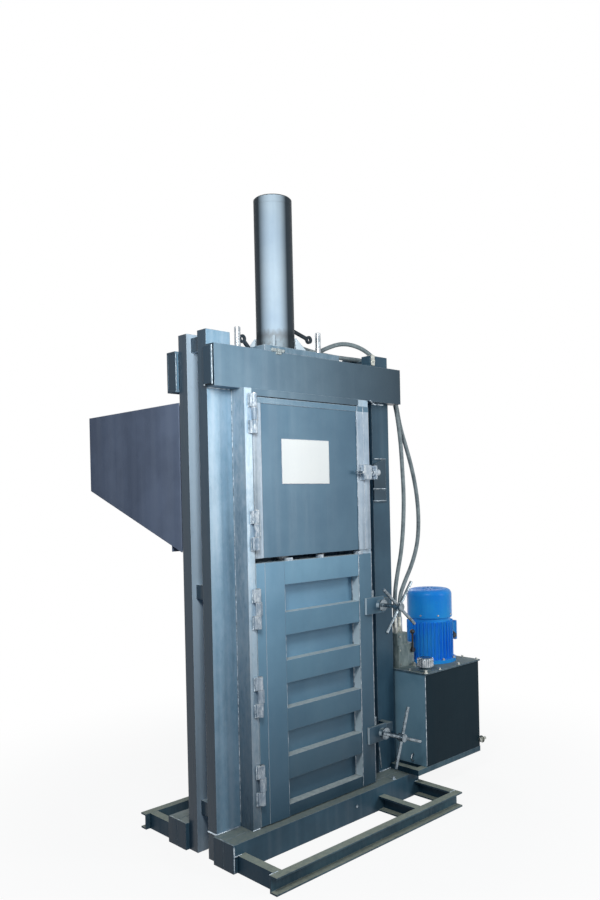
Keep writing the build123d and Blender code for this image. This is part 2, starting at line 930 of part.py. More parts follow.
with BuildPart() as latch_bolt:
    with BuildSketch(Plane.YZ.offset(bolt_tip - latch_bolt_length)):
        with Locations((latch_y, latch_height)):
            Circle(latch_bolt_radius)
    extrude(amount=latch_bolt_length)
    chamfer(latch_bolt.faces().sort_by(Axis.X)[-1].edges(), 2)
    with BuildSketch(Plane.XZ.offset(-latch_y)):
        with Locations((bolt_tip - latch_bolt_length + 7, latch_height)):
            Circle(5)
    extrude(amount=38)
latch_bolt.part.label = "latch_bolt"
export_step(latch_bolt.part, "parts/latch_bolt.step")

post_side = right_post + right_post_width
with BuildPart() as latch_keeper:
    slab(
        (post_side, post_side + keeper_plate),
        (latch_y - keeper_radius, right_post_front + 50),
        (latch_height - 33, latch_height + 33),
    )
    with BuildSketch(Plane.YZ.offset(keeper_left)):
        with Locations((latch_y, latch_height)):
            Circle(keeper_radius)
    extrude(amount=42)
    with BuildSketch(Plane.YZ.offset(keeper_left)):
        with Locations((latch_y, latch_height)):
            Circle(latch_bolt_radius + 1)
    extrude(amount=42, mode=Mode.SUBTRACT)
latch_keeper.part.label = "latch_keeper"
export_step(latch_keeper.part, "parts/latch_keeper.step")

with BuildPart() as column_plates:
    with BuildSketch(Plane.XZ.offset(-front_column)):
        with BuildLine():
            Polyline(
                (right_column, 1545.0),
                (right_column + 90, 1545.0),
                (right_column + 90, 1698.0),
                (right_column, 1668.0),
                close=True,
            )
        make_face()
        with Locations((right_column + 45, 1508.0)):
            Rectangle(90, 60)
    extrude(amount=8)
column_plates.part.label = "column_plates"
export_step(column_plates.part, "parts/column_plates.step")

# Star handles: ear on the door, spindle with its dog, hub with four spokes
spindle_x = door_right + handle_overhang
ear_right = spindle_x + 35
ear_left = ear_right - ear_width
ear_front = chamber_front - ear_thickness
boss_front = ear_front - boss_length
hub_back = boss_front - spindle_reach
dog_front = chamber_front + dog_setback
dog_back = dog_front + dog_thickness

with BuildPart() as handle_ears:
    for height in handle_heights:
        slab(
            (ear_left, ear_right),
            (ear_front, chamber_front),
            (height - ear_height / 2, height + ear_height / 2),
        )
        with BuildSketch(Plane.XZ.offset(-ear_front)):
            with Locations((spindle_x, height)):
                Circle(boss_radius)
        extrude(amount=boss_length)
        with BuildSketch(Plane.XZ.offset(-chamber_front)):
            with Locations((spindle_x, height)):
                Circle(spindle_radius + running_clearance)
        extrude(amount=ear_thickness + boss_length, mode=Mode.SUBTRACT)
handle_ears.part.label = "handle_ears"
export_step(handle_ears.part, "parts/handle_ears.step")

with BuildPart() as lower_spindle:
    with BuildSketch(Plane.XZ.offset(-dog_back)):
        with Locations((spindle_x, handle_heights[0])):
            Circle(spindle_radius)
    extrude(amount=dog_back - hub_back)
    slab(
        (spindle_x - dog_width / 2, spindle_x + dog_width / 2),
        (dog_front, dog_back),
        (handle_heights[0] - dog_width / 2, handle_heights[0] + dog_length),
    )
    with BuildSketch(Plane.XZ.offset(-(boss_front - 0.5))):
        with Locations((spindle_x, handle_heights[0])):
            Circle(washer_radius)
    extrude(amount=washer_thickness)
lower_spindle.part.label = "lower_spindle"
export_step(lower_spindle.part, "parts/lower_spindle.step")

with BuildPart() as upper_spindle:
    with BuildSketch(Plane.XZ.offset(-dog_back)):
        with Locations((spindle_x, handle_heights[1])):
            Circle(spindle_radius)
    extrude(amount=dog_back - hub_back)
    slab(
        (spindle_x - dog_width / 2, spindle_x + dog_width / 2),
        (dog_front, dog_back),
        (handle_heights[1] - dog_width / 2, handle_heights[1] + dog_length),
    )
    with BuildSketch(Plane.XZ.offset(-(boss_front - 0.5))):
        with Locations((spindle_x, handle_heights[1])):
            Circle(washer_radius)
    extrude(amount=washer_thickness)
upper_spindle.part.label = "upper_spindle"
export_step(upper_spindle.part, "parts/upper_spindle.step")

with BuildPart() as lower_star_handle:
    with BuildSketch(Plane.XZ.offset(-hub_back)):
        with Locations((spindle_x, handle_heights[0])):
            Circle(hub_radius)
    extrude(amount=hub_length)
    for quarter in range(4):
        turn = radians(90 * quarter + handle_turns[0])
        spoke_root = (spindle_x, hub_back - hub_length / 2, handle_heights[0])
        with BuildSketch(Plane(spoke_root, z_dir=(cos(turn), 0, sin(turn)))):
            Circle(spoke_radius)
        extrude(amount=spoke_reach)
lower_star_handle.part.label = "lower_star_handle"
export_step(lower_star_handle.part, "parts/lower_star_handle.step")

with BuildPart() as upper_star_handle:
    with BuildSketch(Plane.XZ.offset(-hub_back)):
        with Locations((spindle_x, handle_heights[1])):
            Circle(hub_radius)
    extrude(amount=hub_length)
    for quarter in range(4):
        turn = radians(90 * quarter + handle_turns[1])
        spoke_root = (spindle_x, hub_back - hub_length / 2, handle_heights[1])
        with BuildSketch(Plane(spoke_root, z_dir=(cos(turn), 0, sin(turn)))):
            Circle(spoke_radius)
        extrude(amount=spoke_reach)
upper_star_handle.part.label = "upper_star_handle"
export_step(upper_star_handle.part, "parts/upper_star_handle.step")

# Keepers on the column that the dogs turn behind
finger_left = spindle_x + finger_clearance
finger_front = dog_front - finger_thickness - 2
with BuildPart() as dog_keepers:
    for height in handle_heights:
        slab((finger_left, right_column + 30), (finger_front, dog_front - 2), (height - 22, height + 22))
        slab((right_column, right_column + 30), (dog_front - 2, front_column), (height - 22, height + 22))
dog_keepers.part.label = "dog_keepers"
export_step(dog_keepers.part, "parts/dog_keepers.step")

# Oil tank on its shelf, with a lid
tank_left = x_right
tank_right = tank_left + tank_length
tank_y = y_front + tank_front
tank_back = tank_y + tank_depth
lid_top = tank_high + lid_thickness
breather = (tank_left + 56, tank_y + 42)

with BuildPart() as tank_shelf:
    slab((tank_left - shelf_lead, tank_right), (tank_y, tank_y + shelf_bar), (low_beam_height, tank_low))
    slab(
        (tank_left - shelf_lead, tank_left - shelf_lead + shelf_bar),
        (tank_y, front_column - 5),
        (low_beam_height, tank_low),
    )
    slab((tank_left, tank_left + shelf_bar), (tank_y, tank_back), (low_beam_height, tank_low))
    slab((tank_right - shelf_bar, tank_right), (tank_y, tank_back), (low_beam_height, tank_low))
    slab(
        (tank_left - shelf_lead, tank_right),
        (rear_column + 5, rear_column + 5 + shelf_bar),
        (low_beam_height, tank_low),
    )
tank_shelf.part.label = "tank_shelf"
export_step(tank_shelf.part, "parts/tank_shelf.step")

with BuildPart() as tank:
    slab((tank_left, tank_right), (tank_y, tank_back), (tank_low, tank_high))
    fillet(tank.edges().filter_by(Axis.Z), 6)
tank.part.label = "tank"
export_step(tank.part, "parts/tank.step")

with BuildPart() as tank_lid:
    slab(
        (tank_left - lid_lip, tank_right + lid_lip),
        (tank_y - lid_lip, tank_back + lid_lip),
        (tank_high, lid_top),
    )
    with BuildSketch(Plane.XY.offset(lid_top)):
        with Locations(breather):
            Circle(38)
    extrude(amount=8)
    with BuildSketch(Plane.XY.offset(lid_top)):
        with Locations(breather):
            Circle(26)
    extrude(amount=22)
tank_lid.part.label = "tank_lid"
export_step(tank_lid.part, "parts/tank_lid.step")

drain_y = tank_y + 50
drain_z = tank_low + 50
with BuildPart() as drain_plug:
    with BuildSketch(Plane.YZ.offset(tank_right)):
        with Locations((drain_y, drain_z)):
            Circle(10)
    extrude(amount=drain_reach - drain_hexagon)
    with BuildSketch(Plane.YZ.offset(tank_right + drain_reach - drain_hexagon)):
        with Locations((drain_y, drain_z)):
            RegularPolygon(13, 6)
    extrude(amount=drain_hexagon)
drain_plug.part.label = "drain_plug"
export_step(drain_plug.part, "parts/drain_plug.step")

# Breather cap on the lid's neck
with BuildPart() as breather_cap:
    with BuildSketch(Plane.XY.offset(lid_top + 22)):
        with Locations(breather):
            Circle(40)
    extrude(amount=46)
    fillet(breather_cap.edges().group_by(Axis.Z)[-1], 10)
breather_cap.part.label = "breather_cap"
export_step(breather_cap.part, "parts/breather_cap.step")

# Upright motor on the lid: flange, finned body, cowl with its fan, terminal box
motor = (tank_left + motor_along, tank_y + motor_across)
flange_top = lid_top + motor_flange
body_top = flange_top + motor_body
cowl_low = body_top - 20
fin_tip = ((motor_radius + motor_fin) ** 2 + 2**2) ** 0.5
with BuildPart() as motor_frame:
    with BuildSketch(Plane.XY.offset(lid_top)):
        with Locations(motor):
            Circle(motor_radius + 26)
    extrude(amount=motor_flange)
    with BuildSketch(Plane.XY.offset(flange_top)):
        with Locations(motor):
            Circle(motor_radius)
            with PolarLocations(motor_radius, motor_fin_count):
                Rectangle(2 * motor_fin, 4)
    extrude(amount=motor_body - 40)
    with BuildSketch(Plane.XY.offset(flange_top)):
        with Locations(motor):
            Circle(motor_radius)
    extrude(amount=motor_body)
    with BuildSketch(Plane.XY.offset(flange_top)):
        with Locations(motor):
            Circle(shaft_radius + running_clearance)
    extrude(amount=motor_body, mode=Mode.SUBTRACT)
motor_frame.part.label = "motor_frame"
export_step(motor_frame.part, "parts/motor_frame.step")

with BuildPart() as motor_cowl:
    with BuildSketch(Plane.XY.offset(cowl_low)):
        with Locations(motor):
            Circle(cowl_radius)
    extrude(amount=cowl_height)
    fillet(motor_cowl.edges().group_by(Axis.Z)[-1], 30)
    with BuildSketch(Plane.XY.offset(cowl_low)):
        with Locations(motor):
            Circle(cowl_radius - 4)
    extrude(amount=cowl_height - 30, mode=Mode.SUBTRACT)
    with BuildSketch(Plane.XY.offset(cowl_low)):
        with Locations(motor):
            Circle(cowl_radius - 34)
    extrude(amount=cowl_height - 4, mode=Mode.SUBTRACT)
    with BuildSketch(Plane.XY.offset(cowl_low)):
        with Locations(motor):
            with PolarLocations(50, 16):
                SlotCenterToCenter(44, 7)
    extrude(amount=cowl_height, mode=Mode.SUBTRACT)
    with BuildSketch(Plane.XY.offset(cowl_low)):
        with Locations(motor):
            Circle(cowl_radius)
            Circle(motor_radius, mode=Mode.SUBTRACT)
    extrude(amount=10)
motor_cowl.part.label = "motor_cowl"
export_step(motor_cowl.part, "parts/motor_cowl.step")

fan_low = body_top + 12
with BuildPart() as motor_fan:
    with BuildSketch(Plane.XY.offset(flange_top + 1)):
        with Locations(motor):
            Circle(shaft_radius)
    extrude(amount=fan_low - flange_top + blade_height + 1)
    with BuildSketch(Plane.XY.offset(fan_low)):
        with Locations(motor):
            Circle(fan_radius)
    extrude(amount=fan_disc)
    with BuildSketch(Plane.XY.offset(fan_low)):
        with Locations(motor):
            with PolarLocations(blade_place, 6):
                Rectangle(blade_length, fan_disc)
    extrude(amount=blade_height)
motor_fan.part.label = "motor_fan"
export_step(motor_fan.part, "parts/motor_fan.step")

box_left = motor[0] + motor_radius - 2
with BuildPart() as terminal_box:
    slab(
        (box_left + motor_fin, box_left + motor_fin + 46),
        (motor[1] - 45, motor[1] + 45),
        (flange_top + 75, flange_top + 172),
    )
    fillet(terminal_box.edges().filter_by(Axis.X), 8)
    slab(
        (box_left, box_left + motor_fin),
        (motor[1] - 32, motor[1] + 32),
        (flange_top + 90, flange_top + 157),
    )
    slab(
        (box_left - 20, box_left),
        (motor[1] - 32, motor[1] + 32),
        (flange_top + 90, flange_top + 157),
    )
    with Locations((motor[0], motor[1], flange_top)):
        Cylinder(
            fin_tip,
            motor_body,
            align=(Align.CENTER, Align.CENTER, Align.MIN),
            mode=Mode.SUBTRACT,
        )
terminal_box.part.label = "terminal_box"
export_step(terminal_box.part, "parts/terminal_box.step")

# Valve block on the lid, with its lever
valve_left = tank_left + 24
valve_front = tank_y + 189
valve_top = lid_top + 176
with BuildPart() as valve_block:
    slab((valve_left, valve_left + 124), (valve_front, valve_front + 80), (lid_top, valve_top - 60))
    slab((valve_left, valve_left + 80), (valve_front + 8, valve_front + 72), (valve_top - 60, valve_top))
valve_block.part.label = "valve_block"
export_step(valve_block.part, "parts/valve_block.step")

lever_x = valve_left + 104
lever_z = lid_top + 80
with BuildPart() as valve_lever:
    with BuildSketch(Plane.XZ.offset(-(valve_front - 0.5))):
        with Locations((lever_x, lever_z)):
            Circle(12)
    extrude(amount=14)
    with BuildSketch(Plane.XY.offset(lever_z)):
        with Locations((lever_x, valve_front - 7.5)):
            Circle(5)
    extrude(amount=88)
    with Locations((lever_x, valve_front - 7.5, lever_z + 96)):
        Sphere(13)
valve_lever.part.label = "valve_lever"
export_step(valve_lever.part, "parts/valve_lever.step")

# Ports on the cylinder
port_low_z = 2205.0
low_turn = radians(20)
port_high_z = 2800.0
port_drop = 26.0
port_low_end = tube_radius + 30
turn_back = radians(48)
port_high_x = tube_x + (tube_radius + 26) * cos(turn_back)
port_high_y = tube_y + (tube_radius + 26) * sin(turn_back)
with BuildPart() as cylinder_ports:
    with BuildSketch(Plane((tube_x, tube_y, port_low_z), z_dir=(cos(low_turn), sin(low_turn), 0))):
        Circle(19)
    extrude(amount=port_low_end)
    with BuildSketch(Plane((tube_x, tube_y, port_high_z), z_dir=(cos(turn_back), sin(turn_back), 0))):
        Circle(19)
    extrude(amount=tube_radius + 44)
    with BuildSketch(Plane.XY.offset(port_high_z - port_drop)):
        with Locations((port_high_x, port_high_y)):
            Circle(15)
    extrude(amount=port_drop)
    with Locations((tube_x, tube_y, tube_low)):
        Cylinder(
            tube_radius,
            tube_high - tube_low,
            align=(Align.CENTER, Align.CENTER, Align.MIN),
            mode=Mode.SUBTRACT,
        )
cylinder_ports.part.label = "cylinder_ports"
export_step(cylinder_ports.part, "parts/cylinder_ports.step")

# Hoses from the cylinder's ports to the valve block
port_plane = Plane((tube_x, tube_y, port_low_z), z_dir=(cos(low_turn), sin(low_turn), 0))
low_start = port_low_end + ferrule_length
low_lead = low_start + 86
hose_high_start = port_high_z - port_drop - ferrule_length
valve_port_z = valve_top + 30 + ferrule_length
valve_port_y = valve_front + 40
valve_ports = (valve_left + 20, valve_left + 56)

with BuildPart() as hose_ferrules:
    with BuildSketch(port_plane.offset(port_low_end)):
        Circle(ferrule_radius)
    extrude(amount=ferrule_length)
    with BuildSketch(Plane.XY.offset(hose_high_start)):
        with Locations((port_high_x, port_high_y)):
            Circle(ferrule_radius)
    extrude(amount=ferrule_length)
    for port in valve_ports:
        with BuildSketch(Plane.XY.offset(valve_top)):
            with Locations((port, valve_port_y)):
                RegularPolygon(15, 6)
        extrude(amount=30)
        with BuildSketch(Plane.XY.offset(valve_top + 30)):
            with Locations((port, valve_port_y)):
                Circle(ferrule_radius)
        extrude(amount=ferrule_length)
hose_ferrules.part.label = "hose_ferrules"
export_step(hose_ferrules.part, "parts/hose_ferrules.step")

hose_share = (valve_ports[0] - x_mid) / hose_span
low_hose_points = [
    (tube_x + low_start * cos(low_turn), tube_y + low_start * sin(low_turn), port_low_z),
    (tube_x + low_lead * cos(low_turn), tube_y + low_lead * sin(low_turn), port_low_z),
    (x_mid + 320 * hose_share, y_mid + 99, 2228.0),
    (x_mid + 398 * hose_share, y_mid + 90, 2268.0),
    (x_mid + 484 * hose_share, y_mid + 72, 2300.0),
    (x_mid + 556 * hose_share, y_mid + 38, 2293.0),
    (x_mid + 616 * hose_share, y_mid - 2, 2256.0),
    (x_mid + 670 * hose_share, y_mid - 32, 2188.0),
    (x_mid + 714 * hose_share, y_mid - 56, 2096.0),
    (x_mid + 746 * hose_share, y_mid - 70, 1972.0),
    (x_mid + 774 * hose_share, y_mid - 72, 1810.0),
    (x_mid + 782 * hose_share, y_mid - 74, 1660.0),
    (x_mid + 788 * hose_share, y_mid - 76, 1510.0),
    (x_mid + 784 * hose_share, y_mid - 72, 1360.0),
    (x_mid + 770 * hose_share, y_mid - 66, 1215.0),
    (x_mid + 738 * hose_share, y_mid - 58, 1085.0),
    (valve_ports[0], valve_port_y, 975.0),
    (valve_ports[0], valve_port_y, valve_port_z),
]
high_hose_points = [
    (port_high_x, port_high_y, hose_high_start),
    (port_high_x, port_high_y, 2590.0),
    (port_high_x + 10, port_high_y + 4, 2420.0),
    (port_high_x + 34, port_high_y + 2, 2304.0),
    (x_mid + 190 * hose_share, y_mid + 78, 2246.0),
    (x_mid + 278 * hose_share, y_mid + 54, 2226.0),
    (x_mid + 372 * hose_share, y_mid + 30, 2213.0),
    (x_mid + 470 * hose_share, y_mid + 16, 2211.0),
    (x_mid + 566 * hose_share, y_mid + 12, 2213.0),
    (x_mid + 654 * hose_share, y_mid + 10, 2205.0),
    (x_mid + 722 * hose_share, y_mid + 4, 2160.0),
    (x_mid + 764 * hose_share, y_mid - 14, 2086.0),
    (x_mid + 786 * hose_share, y_mid - 36, 2010.0),
    (x_mid + 812 * hose_share, y_mid - 38, 1880.0),
    (x_mid + 858 * hose_share, y_mid - 44, 1760.0),
    (x_mid + 902 * hose_share, y_mid - 46, 1640.0),
    (x_mid + 934 * hose_share, y_mid - 46, 1515.0),
    (x_mid + 944 * hose_share, y_mid - 48, 1385.0),
    (x_mid + 932 * hose_share, y_mid - 48, 1255.0),
    (x_mid + 878 * hose_share, y_mid - 50, 1140.0),
    (x_mid + 806 * hose_share, y_mid - 54, 1050.0),
    (valve_ports[1], valve_port_y, 965.0),
    (valve_ports[1], valve_port_y, valve_port_z),
]

low_hose_start = Plane(low_hose_points[0], z_dir=Vector(*low_hose_points[1]) - Vector(*low_hose_points[0]))
with BuildPart() as low_hose:
    with BuildLine() as low_route:
        FilletPolyline(*low_hose_points, radius=arc_radii(low_hose_points))
    with BuildSketch(low_hose_start):
        Circle(hose_radius)
    sweep(path=low_route.line)
low_hose.part.label = "low_hose"
export_step(low_hose.part, "parts/low_hose.step")

high_hose_start = Plane(high_hose_points[0], z_dir=Vector(*high_hose_points[1]) - Vector(*high_hose_points[0]))
with BuildPart() as high_hose:
    with BuildLine() as high_route:
        FilletPolyline(*high_hose_points, radius=arc_radii(high_hose_points))
    with BuildSketch(high_hose_start):
        Circle(hose_radius)
    sweep(path=high_route.line)
high_hose.part.label = "high_hose"
export_step(high_hose.part, "parts/high_hose.step")

for name, hose, route, points in (
    ("low_hose", low_hose, low_route, low_hose_points),
    ("high_hose", high_hose, high_route, high_hose_points),
):
    length = sum(edge.length for edge in route.line.edges())
    section = pi * hose_radius**2
    print(name, "radii", [round(radius) for radius in arc_radii(points)])
    print(name, "length", round(length), "volume ratio", round(hose.part.volume / section / length, 4))
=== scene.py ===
import bpy
from math import cos, pi, radians, sin
from mathutils import Matrix, Vector


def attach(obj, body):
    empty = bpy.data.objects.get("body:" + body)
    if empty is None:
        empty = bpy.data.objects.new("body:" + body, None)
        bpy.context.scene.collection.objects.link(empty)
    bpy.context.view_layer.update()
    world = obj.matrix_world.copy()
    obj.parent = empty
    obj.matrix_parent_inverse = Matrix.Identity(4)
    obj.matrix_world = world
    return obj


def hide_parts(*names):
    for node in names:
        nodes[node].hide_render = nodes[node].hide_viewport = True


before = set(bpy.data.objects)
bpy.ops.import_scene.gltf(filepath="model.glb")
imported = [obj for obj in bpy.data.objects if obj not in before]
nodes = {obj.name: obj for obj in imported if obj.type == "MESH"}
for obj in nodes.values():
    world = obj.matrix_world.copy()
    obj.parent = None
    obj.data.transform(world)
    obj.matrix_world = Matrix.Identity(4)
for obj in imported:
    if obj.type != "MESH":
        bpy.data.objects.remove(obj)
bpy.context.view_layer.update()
scene = bpy.context.scene
scene.view_settings.view_transform = "Standard"

# ---------------------------------------------------------------- camera

# Found from the straight lines of the frame and doors in the photograph.
yaw = radians(44.796)
pitch = radians(-0.184)
roll = radians(-1.266)
eye = Vector((-2.8041, -2.9795, 1.5035))
ahead = Vector((sin(yaw) * cos(pitch), cos(yaw) * cos(pitch), sin(pitch)))
level_right = ahead.cross(Vector((0, 0, 1))).normalized()
level_up = level_right.cross(ahead)
right = cos(roll) * level_right + sin(roll) * level_up
up = -sin(roll) * level_right + cos(roll) * level_up

lens = bpy.data.cameras.new("baler_camera")
lens.sensor_fit = "HORIZONTAL"
lens.sensor_width = 36
lens.lens = 47.736
lens.shift_x = -0.04496
lens.shift_y = 0.08462
lens.clip_end = 100
camera = bpy.data.objects.new("baler_camera", lens)
scene.collection.objects.link(camera)
camera.matrix_world = Matrix(
    (
        (right.x, up.x, -ahead.x, eye.x),
        (right.y, up.y, -ahead.y, eye.y),
        (right.z, up.z, -ahead.z, eye.z),
        (0, 0, 0, 1),
    )
)
scene.camera = camera

# ---------------------------------------------------------------- hoses

# Places on plan, in metres: the frame's middle, three upright axes and the valve block's ports.
middle = (-0.3315, -0.1985)
cylinder_axis = (-0.3495, -0.1905)
motor_axis = (0.6435, -0.2825)
filler_axis = (0.3995, -0.4395)
low_valve_port = (0.3875, -0.2525)
high_valve_port = (0.4235, -0.2525)

hose_radius = 0.011


def around(axis, radius, degrees, z):
    """A point that far out from an upright axis, at that angle and height."""
    turn = radians(degrees)
    return (axis[0] + radius * cos(turn), axis[1] + radius * sin(turn), z)


def from_middle(*steps):
    """Points from their distances to the frame's middle, and their heights."""
    return [(middle[0] + x, middle[1] + y, z) for x, y, z in steps]


# Out of the cylinder's lower port, over the right column and down to the valve block.
low_hose_route = [
    around(cylinder_axis, 0.169, 20, 2.205),
    around(cylinder_axis, 0.255, 20, 2.205),
    *from_middle(
        (0.320, 0.099, 2.228),
        (0.398, 0.090, 2.268),
        (0.484, 0.072, 2.300),
        (0.556, 0.038, 2.293),
        (0.616, -0.002, 2.256),
        (0.670, -0.032, 2.188),
        (0.714, -0.056, 2.096),
        (0.746, -0.070, 1.972),
        (0.774, -0.072, 1.810),
        (0.782, -0.074, 1.660),
        (0.788, -0.076, 1.510),
        (0.784, -0.072, 1.360),
        (0.770, -0.066, 1.215),
        (0.738, -0.058, 1.085),
    ),
    (*low_valve_port, 0.975),
    (*low_valve_port, 0.868),
]
# Down from the port near the cylinder's top, along the mounting plate and over the column.
top_port = around(cylinder_axis, 0.115, 48, 2.724)
high_hose_route = [
    top_port,
    (top_port[0], top_port[1], 2.590),
    (top_port[0] + 0.010, top_port[1] + 0.004, 2.420),
    (top_port[0] + 0.034, top_port[1] + 0.002, 2.304),
    *from_middle(
        (0.190, 0.078, 2.246),
        (0.278, 0.054, 2.226),
        (0.372, 0.030, 2.213),
        (0.470, 0.016, 2.211),
        (0.566, 0.012, 2.213),
        (0.654, 0.010, 2.205),
        (0.722, 0.004, 2.160),
        (0.764, -0.014, 2.086),
        (0.786, -0.036, 2.010),
        (0.812, -0.038, 1.880),
        (0.858, -0.044, 1.760),
        (0.902, -0.046, 1.640),
        (0.934, -0.046, 1.515),
        (0.944, -0.048, 1.385),
        (0.932, -0.048, 1.255),
        (0.878, -0.050, 1.140),
        (0.806, -0.054, 1.050),
    ),
    (*high_valve_port, 0.965),
    (*high_valve_port, 0.868),
]


def pressure_hose(name, route, node):
    """A rubber hose on one smooth spline, in place of its tube in the frame."""
    curve = bpy.data.curves.new(name, "CURVE")
    curve.dimensions = "3D"
    # A bevel of one metre, which each point's own radius brings down to the hose's.
    curve.bevel_depth = 1.0
    curve.bevel_resolution = 6
    curve.resolution_u = 12
    spline = curve.splines.new("NURBS")
    spline.points.add(len(route) - 1)
    for spot, place in zip(spline.points, route):
        spot.co = (*place, 1)
        spot.radius = hose_radius
    spline.order_u = 3
    spline.use_endpoint_u = True
    hose = bpy.data.objects.new(name, curve)
    scene.collection.objects.link(hose)
    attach(hose, "frame")
    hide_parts(node)
    return hose


low_hose = pressure_hose("press_hose_low", low_hose_route, "low_hose")
high_hose = pressure_hose("press_hose_high", high_hose_route, "high_hose")

# ---------------------------------------------------------------- finishes


def linear(hex_colour):
    """The linear colour that a socket takes, from an sRGB hex value."""
    parts = [int(hex_colour[i : i + 2], 16) / 255 for i in (1, 3, 5)]
    return (
        *(c / 12.92 if c <= 0.04045 else ((c + 0.055) / 1.055) ** 2.4 for c in parts),
        1,
    )


def add(tree, kind, sockets=(), out=0, **settings):
    """Adds a node with its settings and links, and gives back one of its outputs.

    Sockets with no name of their own go by number: Map Range has its range at 1 and 2 and its
    result at 3 and 4, and Mix has its colours at 6 and 7 and gives the mixed one at 2.
    """
    made = tree.nodes.new("ShaderNode" + kind)
    for name, value in settings.items():
        setattr(made, name, value)
    for name, value in dict(sockets).items():
        if isinstance(value, bpy.types.NodeSocket):
            tree.links.new(value, made.inputs[name])
        else:
            made.inputs[name].default_value = value
    return made.outputs[out] if made.outputs else made


def new_finish(name):
    """An empty material and its node tree."""
    material = bpy.data.materials.new(name)
    material.use_nodes = True
    material.node_tree.nodes.clear()
    return material, material.node_tree


# Colours of what lies in the paint or on it, and of painted shade.
brush_shadow = "#2C3E4C"
thin_paint = "#3F5568"
low_shade_colour = "#1E3340"
end_shade_colour = "#1E3442"
front_shade_colour = "#0C222C"
flank_shade_colour = "#08151D"
scorched_steel = "#A4AEB4"
rust = "#75604F"

# How far the painted shade and the rear channel's painted light reach, in metres.
low_shade_top, low_shade_floor = 1.2, 0.05
end_shade_start, end_shade_full = -0.62, 0.36
rear_light_front, rear_light_back = -0.2, -0.19


